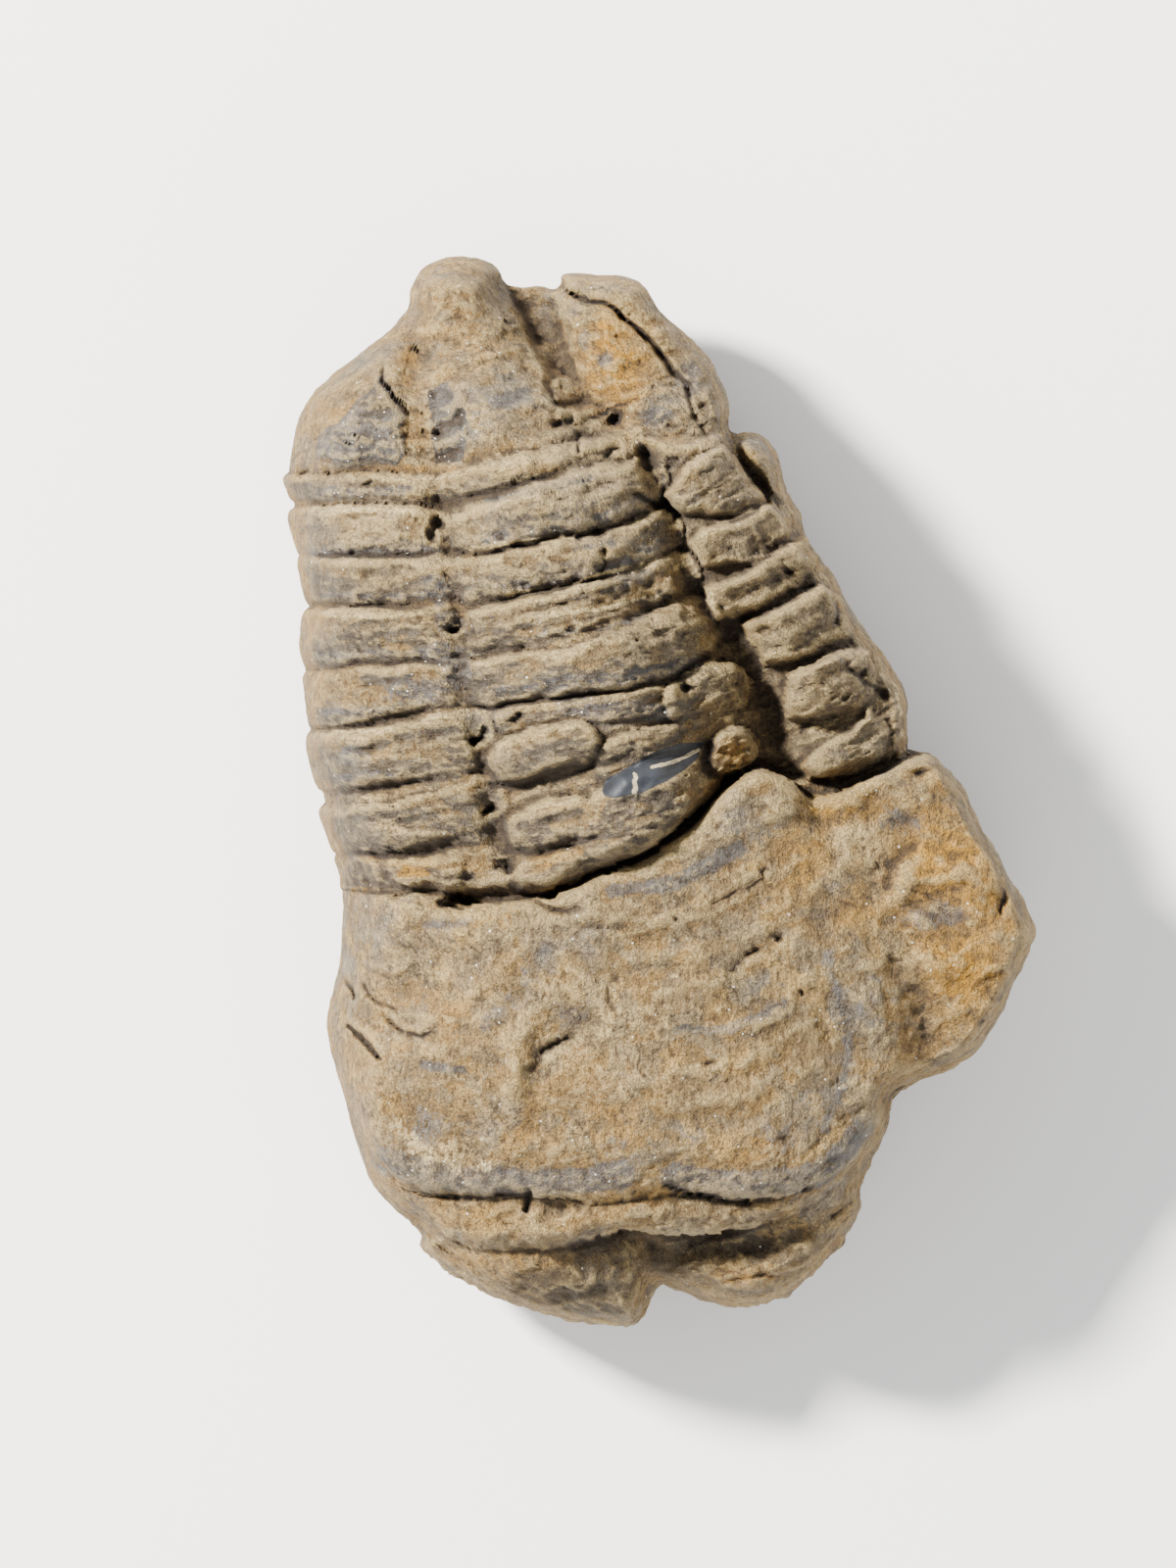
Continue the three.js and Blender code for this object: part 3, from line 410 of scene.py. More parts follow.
outline = smooth_line(OUTLINE, closed=True)
seams = [THIRD_GROOVE, FIFTH_GROOVE, CRACK, HEAD_MARGIN, LIP_MARGIN]
ends = [TAIL_CORNERS, *([seam[0], seam[-1]] for seam in seams), FRONT_CORNERS]
across = eased_shares(COLUMNS)
borders = [points_at(line, across) for line in (
    outline_stretch(*TAIL_CORNERS), *(smooth_line(seam) for seam in seams),
    outline_stretch(*FRONT_CORNERS[::-1])[::-1])]
bands = []
for band, rows in enumerate(BAND_ROWS):
    down = eased_shares(rows, band == 0, band == len(BAND_ROWS) - 1)
    left = points_at(outline_stretch(ends[band + 1][0], ends[band][0])[::-1], down)
    right = points_at(outline_stretch(ends[band][1], ends[band + 1][1]), down)
    patch = coons_band(borders[band], borders[band + 1], left, right, across, down)
    bands.append(patch if band == 0 else patch[1:])
plan = np.concatenate(bands)
print("bands:", len(bands), " rows and columns of points:", plan.shape[:2])

# %% [markdown]
# ### Points at the notches
#
# A notch in the outline squeezes the grid beside it, and can even push points past the line.  The
# bands could be cut smaller there, but it is enough to let the crowded points even out and then to
# move the few that are still outside back in.

# %% Grid points at the notches
NOTCHES = [                      # x, y, half width, half length, share
    [5.6, 27, 2.6, 2.6, 1], [18.7, 3.2, 2.6, 2.6, 1], [18, -22.2, 2.8, 2.8, 1],
    [-18.2, -32.6, 2.4, 2.4, 1], [-19.1, 36.3, 2.2, 2.2, 1], [-11.8, 38.4, 2, 2, 1],
    [-7.6, 37.8, 1.5, 1.5, 1], [-0.1, -36.9, 2, 2, 1],
]
NOTCH_MARGIN = 0.3               # mm that points stay inside the outline at a notch
PLAIN_MARGIN = 0.002             # and everywhere else
ON_THE_LINE = 0.001              # mm from the outline at which a point counts as inside
CROWDED = [[16, -24, 5, 5, 1.6]]         # where the outline turns in at the right of the head's front
EVENING_MOVES = 400


def soft_places(places, x, y):
    """The strongest of some soft ovals: share x e to the power of minus the squared distance in
    half widths and half lengths."""
    return np.maximum.reduce([
        share * np.exp(-((x - px) / half_x) ** 2 - ((y - py) / half_y) ** 2)
        for px, py, half_x, half_y, share in places])


def relaxed(plan):
    """Where the rows are crowded each grid point moves many times to the mean of its four
    neighbours, which spreads them out."""
    inner = plan[1:-1, 1:-1]
    share = np.clip(soft_places(CROWDED, inner[..., 0], inner[..., 1]), 0, 1)
    result = plan.copy()
    for _ in range(EVENING_MOVES):
        mean = (result[2:, 1:-1] + result[:-2, 1:-1] + result[1:-1, 2:] + result[1:-1, :-2]) / 4
        result[1:-1, 1:-1] += share[..., None] * (mean - result[1:-1, 1:-1])
    return result


def settled(plan):
    """At a notch a band lays some grid points past the outline.  They are moved in: where the depth
    d is below a margin s it becomes s e^((d - s) / s), which keeps their order."""
    x, y = plan[1:-1, 1:-1, 0], plan[1:-1, 1:-1, 1]
    distance, way_x, way_y, _, _ = nearest_on(outline, x, y, closed=True)
    inwards = np.where(is_inside(outline, x, y) | (distance < ON_THE_LINE), 1, -1)
    depth = distance * inwards
    margin = NOTCH_MARGIN * soft_places(NOTCHES, x, y) + PLAIN_MARGIN
    wanted = np.where(depth < margin, margin * np.exp(np.minimum(depth / margin - 1, 0)), depth)
    step = (wanted - depth) * inwards
    result = plan.copy()
    result[1:-1, 1:-1, 0] += step * way_x
    result[1:-1, 1:-1, 1] += step * way_y
    print("moved in at notches:", int((wanted > depth + 1e-6).sum()), "grid points")
    return result


plan = settled(relaxed(plan))
print("one step across is about", round(float(np.ptp(plan[150, :, 0])) / COLUMNS, 2), "mm")

# %% [markdown]
# ## The smooth body
#
# The thorax and tail form one arched body, the head a second one behind a crack, the lip and the
# two stumps three steps below the head.  They could be separate meshes pushed into each other, but
# then no crack between them would be rounded.  So each takes its height from a few known heights,
# blended, and ends in a rounded edge; the stone's back is the highest of them at each point.

# %% Thorax and tail, mm
TRUNK_EDGE = [
    [-34.5, 44.4], [23.9, 44.4], [23.9, 15.2], [20.2, 3.1], [18.5, 3], [15.8, 1.8], [12.8, 0.4],
    [11.1, 0.9], [9.3, 0.8], [7.8, 1.5], [6.9, 2], [5, 0.8], [3.9, -0.4], [1, -3], [-1.8, -4.7],
    [-4.7, -5.8], [-6.8, -6.9], [-8.8, -7.6], [-11.2, -8], [-14.8, -7.7], [-19.9, -7.5],
    [-23.9, -7.3], [-34.5, -7.3],
]
TRUNK_HEIGHT = [
    [-18.1, 34.9, 19.5], [-16.1, 24.7, 29], [-15.4, 15.2, 31.6], [-13.7, 3.5, 32],
    [-12.3, -5.3, 30.5], [-9.7, 35.6, 18], [-5.3, 29.1, 24.5], [0.1, 23.2, 28], [3.4, 15.2, 28.5],
    [6.7, 7.9, 28], [9.3, 2, 27], [-26.2, 24.7, 22], [-24.5, 15.2, 25.5], [-24, 4.2, 26],
    [-23.4, -6, 25.5], [-20.5, 27, 28], [-20, 15, 30.5], [-19, 3, 30.8], [-18, -5, 29.5],
    [-0.9, 35.6, 18], [5.3, 28.3, 21.5], [10, 20.3, 23], [15.1, 12.3, 23.5], [17.4, 4.2, 24.5],
    [-8.2, 18.1, 31.5], [-5.3, 7.9, 32.5], [-4.6, -3.1, 31.5], [-14.8, 39.3, 14.5],
]
TRUNK_REACH = 5.1                # mm round each known height in which it counts
TRUNK_ROUND = 1.3                # mm, width of the rounded edge at the crack
AXIS = ([[-15.2, 37], [-13.9, 33.5], [-11.8, 29.5], [-9, 23.2], [-6.6, 15.2], [-4.6, 7.9],
         [-2.6, 0.6], [-1.9, -5.8]],
        [4.3, 5.2, 7, 9, 10.2, 10.6, 11, 11], [3.2, 4.2, 3.8, 3.2, 3.2, 3.2, 3.2, 3])
RIGHT_LOBE = ([[-4, 34.2], [1.6, 27.1], [7.4, 19.6], [11, 13], [14, 5.7], [15, 1.3]],
              [4.2, 4.2, 4.6, 4.8, 4.8, 4.8], 1.8)
CRACK_DEPTH = 3
CRACK_FILLS = [                  # where broken rock fills the crack
    ([[-24.5, -7.6], [-20, -7.7], [-16.6, -7.9]], 1.6, 2),
    ([[8, 1.2], [10.4, 0.4], [12.7, 0.1], [15.8, 1.4], [18, 2.8]], 1.8, 2.2),
    ([[-12.8, -7.9], [-11, -8.1], [-9.2, -7.9]], 1.2, [0.8, 2, 1.4]),
]
CRACK_SPAN = (-11, 6)            # mm of the length between which the crack runs
print("known heights of thorax and tail:", len(TRUNK_HEIGHT))

# %% Head, lip and stumps, mm
HEAD_EDGE = [
    [-30.9, -7.1], [-23.9, -7.3], [-20.7, -7.7], [-16.3, -7.7], [-14.1, -8.4], [-11.2, -8.2],
    [-7.9, -7.8], [-5.3, -6.5], [-1.7, -5.2], [2, -2.9], [4.5, -0.1], [6.1, 1.2], [7.4, 1.7],
    [9.4, 1], [10.4, 0], [12.6, -0.1], [15.8, 1.3], [18.6, 2.5], [19.9, 3.2], [32.6, 5],
    [32.6, -24], [23.5, -23.4], [19.4, -23.6], [16.6, -24.6], [14.5, -27.2], [11.6, -29.1],
    [6.7, -30.4], [2, -29.9], [-2.4, -30.2], [-5.3, -30.5], [-9.3, -30.1], [-12.6, -30.3],
    [-17.6, -29.8], [-20.8, -27.9], [-22.7, -25], [-23.9, -23.4], [-30.9, -22],
]
HEAD_HEIGHT = [
    [-19.9, -8.9, 28.8], [-23.4, -14, 22.5], [-5.3, -6.7, 33], [0, -3.6, 33.6], [4.9, -0.6, 33.8],
    [-5.3, -14, 32.2], [-3.9, -21.3, 31], [-14.1, -19.9, 31], [-13, -9, 31.5], [-19.9, -23.5, 26.5],
    [-5.3, -28.6, 28.3], [-16.3, -27.9, 27.4], [6.4, -21.3, 31], [5.6, -28.6, 27.8], [12.2, -26.4, 27],
    [12.9, -18.4, 29.8], [9.3, -6.7, 31], [8, 1, 33.2], [15.1, -1.6, 31], [18.8, -6.7, 29.3],
    [21, -14, 28], [23.9, -6.7, 28.2], [26.8, -11.1, 26.5], [20.2, -19.9, 24], [16.6, -22.8, 24.5],
    [20.7, 0.6, 27.5], [25.3, -15.5, 25.5],
]
HEAD_REACH = 5.2
HEAD_FRONT = (-21.3, -28.6)      # from where to where the head's edge turns to a rounded front
HEAD_DROP = (1, 0.8)             # mm that the edge drops at the crack, and how much more in front
HEAD_ROUND = (0.7, 1.3)          # the edge's width in the same two parts
LIP_RING = [
    [-26, -21.3], [-25.5, -26.5], [-22.5, -30.4], [-17.9, -32.6], [-14.2, -33.9], [-11.2, -34.2],
    [-6.8, -33.7], [-2.4, -32.7], [2, -32.9], [6.5, -32.5], [10.1, -31.2], [13.1, -29.1],
    [15.5, -26.9], [19.5, -25.4], [20, -21], [12.9, -19.9], [-5.3, -21.3],
]
LIP_HEIGHT = [
    [-21.4, -28.6, 24.8], [-17.7, -31.9, 24.6], [-11.2, -33.4, 24.6], [-2.4, -32.3, 25.4],
    [-9.5, -30.8, 26.2], [-4, -31, 26.6],
    [6.4, -31.9, 24.8], [12.9, -28.6, 24.8], [16.6, -24.2, 24.5],
]
LEFT_STUMP_RING = [
    [-22.4, -27.2], [-21.5, -33.8], [-19.8, -37], [-15.7, -39.6], [-11.6, -41.2], [-6.4, -42.4],
    [-1.6, -42], [-0.8, -38.8], [-0.4, -35.9], [-1.7, -32.3], [-12.6, -28.6],
]
LEFT_STUMP_HEIGHT = [
    [-17, -34.5, 22], [-9.7, -36.2, 22.6], [-2.9, -37.6, 20.5], [-0.9, -34.5, 19.5],
]
RIGHT_STUMP_RING = [
    [1.2, -33], [0.6, -35.9], [0.7, -39.4], [5.3, -41.3], [10.6, -40.4], [15, -36.9], [18, -32.5],
    [18.2, -29], [20, -25], [19.4, -21.8], [12.9, -27.2], [6.4, -31.5],
]
RIGHT_STUMP_HEIGHT = [
    [2, -35.9, 19.5], [6.4, -36.2, 21.2], [12.2, -33.1, 21.6], [15.1, -30.1, 21.6],
    [16.4, -25.2, 22.4],
]
RECESS = ([[-0.4, -33.9], [5, -34], [10, -33], [13.6, -30.8]], 1.2, [1.6, 2, 1.8, 0.8])
SADDLE_RING = [[-3, -31.5], [3.4, -31.5], [3.4, -35], [1.4, -37.6], [-0.8, -37.8], [-3, -35]]
SADDLE_HEIGHT = [[0, -33.2, 21], [0.2, -35.6, 18]]
LEDGE_REACH = 4.4
LIP = (LIP_RING, LIP_HEIGHT, 3, 1.5)     # ring, heights, drop of the edge, width of the edge
STUMPS = [(LEFT_STUMP_RING, LEFT_STUMP_HEIGHT, 5, 1.6), (RIGHT_STUMP_RING, RIGHT_STUMP_HEIGHT, 5, 1.6),
          (SADDLE_RING, SADDLE_HEIGHT, 2, 1)]
LOWEST_BACK = 12.0               # mm above the floor, the body's height where none of them reaches
print("known heights of the head:", len(HEAD_HEIGHT), " steps below it:", 1 + len(STUMPS))

# %% Height of the smooth body
def trunk_body(x, y):
    """Mean height + axis + right lobe, less a rounded edge towards the crack; 0 past the edge."""
    depth = depth_inside(TRUNK_EDGE, x, y)
    height = (mean_height(TRUNK_HEIGHT, TRUNK_REACH, x, y) + along(swell, AXIS, x, y)
              + along(swell, RIGHT_LOBE, x, y) - CRACK_DEPTH * (1 - rounded_edge(depth, TRUNK_ROUND)))
    return np.where(depth > 0, height, 0)


def head_body(x, y):
    """Mean height less a rounded edge, sharp at the crack and fuller towards the front."""
    depth = depth_inside(smooth_line(HEAD_EDGE, closed=True), x, y)
    front = ease(-HEAD_FRONT[0], -HEAD_FRONT[1], -y)
    width = HEAD_ROUND[0] + HEAD_ROUND[1] * front
    drop = (HEAD_DROP[0] + HEAD_DROP[1] * front) * (1 - rounded_edge(depth, width))
    return np.where(depth > 0, mean_height(HEAD_HEIGHT, HEAD_REACH, x, y) - drop, 0)


def ledge_body(ledge, x, y):
    """A step below the head: mean height less a rounded edge of the given drop and width."""
    ring, heights, drop, width = ledge
    depth = depth_inside(smooth_line(ring, closed=True), x, y)
    height = mean_height(heights, LEDGE_REACH, x, y) - drop * (1 - rounded_edge(depth, width))
    return np.where(depth > 0, height, 0)


def crack_floor(x, y):
    """The lower of trunk and head, less the depth of the crack, and only where the crack runs."""
    floor = np.minimum(mean_height(TRUNK_HEIGHT, TRUNK_REACH, x, y),
                       mean_height(HEAD_HEIGHT, HEAD_REACH, x, y)) - CRACK_DEPTH
    here = (y > CRACK_SPAN[0]) & (y < CRACK_SPAN[1])
    return np.where(here, floor + total(swell, CRACK_FILLS, x, y), 0)


place = np.array([-5.0])
print("body, mm: on the axis", np.round(trunk_body(place, place + 10), 1),
      " on the head", np.round(head_body(place, place - 10), 1))

# %% [markdown]
# ## Ribs, rings and blocks
#
# Each rib of the left side and each ring of the axis is one stroke with a round section, a little
# steeper towards the tail.  One rib repeated at even steps would be quicker, but no two of them are
# alike, and the eye sees it.  The right side is crushed: its ribs are short broken blocks, drawn as
# rings with a rounded edge.  Furrows run along both sides of the axis.

# %% Left ribs, axis rings and right blocks, mm
LEFT_RIBS = [
    ([[-28.7, 22.7], [-25, 22.5], [-21.8, 22.6], [-17.4, 22.4]], 1.1, 0.8),
    ([[-28.7, 19.1], [-25, 19.3], [-21.4, 19.5], [-17, 19.2]], 1.9, [0.8, 1.3, 1.4, 1]),
    ([[-28, 15.8], [-23.9, 15.7], [-19.9, 15.8], [-16.2, 15.7]], 1.8, [0.8, 1.2, 1.3, 0.9]),
    ([[-27.6, 11.2], [-23.6, 11.4], [-19.9, 11.5], [-15.9, 11.8]], 2.3, [0.9, 1.4, 1.5, 1]),
    ([[-27.5, 6.8], [-23.6, 7], [-19.9, 7.3], [-15.2, 8]], 2.2, [0.9, 1.4, 1.5, 1]),
    ([[-27.2, 2.2], [-23.6, 2.3], [-19.9, 2.8], [-14.3, 3.9]], 2.3, [0.9, 1.5, 1.6, 1]),
    ([[-26.5, -2.8], [-23.6, -2.9], [-19.9, -2.5], [-16.3, -1.8], [-13.2, -0.8]], 1.9,
     [0.9, 1.4, 1.5, 1.3, 0.8]),
    ([[-25, -6], [-21.4, -6.1], [-17.7, -6.1], [-15.9, -5.9]], 1.3, 0.8),
]
AXIS_RINGS = [
    ([[-15.9, 22.5], [-12.6, 23.2], [-9.3, 24.1], [-4.6, 25.3], [-2, 26.1]], 1.1, 0.9),
    ([[-14.4, 19.2], [-11.2, 20.1], [-8.2, 20.9], [-5.3, 21.6], [-3, 22.3], [-1.2, 23.1]],
     [1.6, 1.9, 2, 2.3, 2.3, 1.8], [1.3, 1.8, 1.9, 2, 2, 1.8]),
    ([[-14.4, 15.6], [-11.9, 16.1], [-8.2, 16.8], [-4.6, 17.5], [-1.9, 18.3], [0, 19.2]],
     1.7, [1.1, 1.6, 1.7, 1.7, 1.7, 1.6]),
    ([[-14.1, 11.7], [-9, 12.8], [-5.3, 13.7], [-1.7, 14.8], [1.2, 16.1]],
     1.8, [1.1, 1.6, 1.6, 1.6, 1.6, 1.4]),
    ([[-13.6, 8], [-10.4, 8.5], [-6.1, 9.1], [-2.4, 10.1], [1, 11.6], [2.5, 12.4]],
     [1.7, 1.8, 1.8, 2.3, 2.6, 2.2], [1.3, 1.8, 2, 2.1, 2.2, 2]),
    ([[-11.2, 5.3], [-8.2, 5.8], [-4.6, 6], [-0.2, 6.7]], 1.1, 0.9),
    ([[1.7, 6.7], [3.6, 7.4], [5, 7.8]], [1.7, 2.3, 1.9], 2.1),
    ([[-11, 2.2], [-9, 2.9], [-6.2, 3.5]], [1.8, 2, 1.7], 2.1),
    ([[-3.5, 2.4], [0.5, 3.7], [4.2, 5.1]], 1.5, 1.2),
    ([[-9.7, -2.9], [-7.9, -2.3], [-6.4, -2]], 1.8, 1.9),
    ([[-4.1, -2.6], [-0.6, -0.9], [1.6, 0.4], [3.1, 1.5]], [2.5, 3.2, 2.8, 1.8],
     [2.4, 2.8, 2.6, 1.8]),
    ([[-10.1, -6], [-6.8, -5.4], [-4.2, -4.4]], 1, 0.8),
    ([[5.3, 2.9], [5.8, 3.1]], 1.8, 2.6), ([[-8.5, 11.1], [-5.3, 11.6], [-2, 12.6]], 1.5, 1.5),
]
RIGHT_MARGIN = ([[9.5, 21.6], [11.4, 18.6], [13.1, 16], [15.2, 12.5], [16.9, 9.3], [17.8, 6.4],
                 [17.9, 3.3]], 0.8, 0.4)
RIGHT_BLOCKS = [                 # ring, height, width of the rounded edge
    ([[-1.7, 26.2], [3.1, 26.4], [5.2, 27.6], [5, 24.6], [0.2, 23.9]], 1.6, 1.3),
    ([[0, 21.9], [1.6, 24.2], [4.6, 26], [6.3, 24.1], [7.9, 21.8], [5.1, 20.5], [1.4, 20.4]],
     2, 0.7),
    ([[1.9, 18.5], [3, 19.6], [5, 20.2], [8.3, 21.8], [9.9, 19.2], [7.7, 16.8], [3, 16.5]], 2.2, 0.6),
    ([[3, 15.2], [6.4, 16.6], [10.6, 19.2], [11.8, 17.3], [10.4, 14.6], [7.2, 13.4], [3.9, 12.6]],
     2.2, 0.6),
    ([[5.7, 12.4], [9.4, 14], [11.8, 15.6], [13.6, 14.4], [14.5, 11.6], [11.4, 10],
      [7.6, 9.2]], 2.3, 0.6),
    ([[9.1, 8.8], [13.3, 10.6], [15.4, 10.6], [16, 8], [14.9, 6.4], [11.6, 5.2], [9.2, 5.3]],
     2.3, 0.7),
    ([[10.3, 2], [12.2, 4], [14, 4.9], [15.4, 6.6], [17.2, 4.6], [16.4, 2.4], [13.4, 1.1],
      [10.8, 0.7]], 2.4, 0.7),
]
FURROWS = [
    ([[-1.7, 26.9], [-0.6, 23.8], [0.4, 21], [1.2, 18.4], [2.3, 15.2], [4.6, 12.3], [6.2, 10.2],
      [7.2, 8.4], [8.4, 5.2], [9.1, 2.2]], [0.9, 1.1, 1.1, 1.1, 1.2, 1.4, 1.6, 1.8, 1.8, 1.6],
     [0.8, 2.4, 2.6, 2.8, 2.8, 3.2, 3.4, 3.5, 3.5, 3]),
    ([[-11.3, 38], [-9.3, 34.9], [-6.8, 31.2], [-4.6, 28.4], [-2.6, 26.4]],
     [1.4, 1.8, 1.8, 1.3, 0.9], [2.2, 4.2, 3.6, 2.4, 1]),
    ([[-18.6, 36], [-18.2, 28], [-15.9, 19.5], [-14.4, 8], [-12.2, -2.5], [-11.5, -5.4]],
     [1.3, 1.2, 0.8, 0.9, 0.9, 0.8], [0.6, 0.7, 0.9, 1.3, 1.4, 1]),
    ([[5.3, 27.1], [5.8, 24.7], [7.6, 22.4], [9.4, 20.9], [10.1, 19.2]],
     [0.5, 0.6, 0.7, 0.6, 0.4], [2.4, 3.6, 3.6, 3, 2]),
]
print("ribs:", len(LEFT_RIBS), " axis rings:", len(AXIS_RINGS), " blocks:", len(RIGHT_BLOCKS),
      " furrows:", len(FURROWS))

# %% [markdown]
# ## Fine forms
#
# What makes the stone a fossil and not a toy is small: cracks that follow the grooves, pits where
# crystals fell out, a flake split off the tail, wrinkles on the head, and shell that is kept in
# places and broken away in others.  They are too small for the solid model.  A bump map could show
# them, but a bump has no edge and casts no shadow, so they are cut into the mesh.
#
# First the cracks.  Each is a bell-shaped groove of a quarter of a millimetre whose depth changes
# on its way.  Most run along the bottom of the grooves, and the ribs are split along their length.

# %% Cracks in the grooves and along the ribs, mm
GROOVE_CRACKS = [
    ([[-26.8, 17.7], [-21.4, 17.4], [-17, 17.6]], 0.3, 0.8),
    ([[-26.4, 13.9], [-23.2, 13.8], [-18.3, 13.6], [-16.3, 14]], 0.25, [0.4, 0.8, 0.9, 0.5]),
    ([[-25.5, 9], [-21.4, 9.5], [-15.6, 9.6]], 0.25, 0.7),
    ([[-24.9, 4.8], [-21.4, 5.2], [-17.2, 6.1], [-15, 6.2]], 0.3, [0.7, 1, 0.8, 0.5]),
    ([[-24.7, 0], [-22.2, 0], [-18.9, 0.7], [-15.6, 1.4]], 0.28, [0.5, 1, 0.8, 0.4]),
    ([[-23.7, -4.4], [-21.4, -4.6], [-18.2, -4.7], [-11.8, -3.6]], 0.3, [0.6, 1, 0.8, 0.5]),
    ([[-16.3, 21], [-13.7, 21.9], [-9.1, 23.1], [-6.8, 24.1], [-3.9, 25.3]], 0.28,
     [0.5, 1, 1.1, 0.5, 0.8]),
    ([[-14.8, 17.4], [-11.8, 18], [-8.5, 18.8], [-5.3, 19.2], [-2.4, 19.8], [0.6, 21.4]], 0.3,
     [0.6, 1, 0.9, 1, 0.6, 0.8]),
    ([[-12.3, 14], [-9.8, 14.4], [-6.9, 15.2], [-5.2, 15.6], [-1.5, 16.5], [1.2, 18.1]], 0.28,
     [0.6, 0.9, 0.7, 0.9, 0.6, 0.7]),
    ([[-13.7, 10.4], [-11.2, 10.7], [-8.2, 11.2], [-5.3, 12.1], [-2.4, 13], [0, 13.9], [2, 15.2]],
     0.26, [0.9, 0.6, 0.3, 0.4, 0.5, 0.4, 0.6]),
    ([[-13.4, 6.3], [-9.7, 6.6], [-5.3, 7.2], [-1, 7.7], [2, 8.6], [3.4, 9.9]], 0.28,
     [0.8, 1.1, 0.9, 0.6, 0.8, 0.8]),
    ([[-12.6, 0.4], [-10.1, 0.7], [-7, 1.8], [-5.3, 2], [-2.4, 2.4]], 0.35, [0.8, 1.2, 1, 0.9, 0.5]),
    ([[-11.5, -4.4], [-9.5, -4.4], [-6.9, -3.7], [-5, -3.2]], 0.35, [0.8, 1.3, 1.2, 0.8]),
    ([[-11.2, -7.1], [-8.8, -7.5], [-6.2, -6.4]], 0.3, [0.6, 0.9, 0.5]),
]
RIB_FURROWS = [
    ([[-26, 20.1], [-22, 20.5], [-18.4, 20.3]], 0.3, [0.2, 0.5, 0.3]),
    ([[-26, 16.5], [-22, 16.4], [-18.2, 16.7]], 0.3, [0.2, 0.6, 0.4]),
    ([[-25.6, 12.6], [-21.8, 12.3], [-17, 12.9]], 0.32, [0.3, 0.7, 0.4]),
    ([[-25.4, 7.6], [-21.8, 7.9], [-16.6, 8.8]], 0.32, [0.3, 0.7, 0.5]),
    ([[-25.2, 3.2], [-21.4, 3.3], [-16, 4.2]], 0.32, [0.3, 0.6, 0.5]),
    ([[-24.4, -1.9], [-20.8, -1.9], [-15.4, -0.4]], 0.32, [0.3, 0.5, 0.4]),
    ([[-12.6, 20.6], [-8, 21.6], [-3.6, 22.8]], 0.3, [0.2, 0.6, 0.3]),
    ([[-12, 16.9], [-7.4, 17.8], [-3, 18.8]], 0.3, [0.5, 0.7, 0.4]),
    ([[-12.6, 12.6], [-8.4, 13.6], [-3.8, 14.8]], 0.3, [0.5, 0.7, 0.5]),
    ([[-12, 9.2], [-7, 9.8], [-2.4, 11]], 0.3, [0.3, 0.6, 0.4]),
]
print("cracks in grooves:", len(GROOVE_CRACKS), " along ribs:", len(RIB_FURROWS))

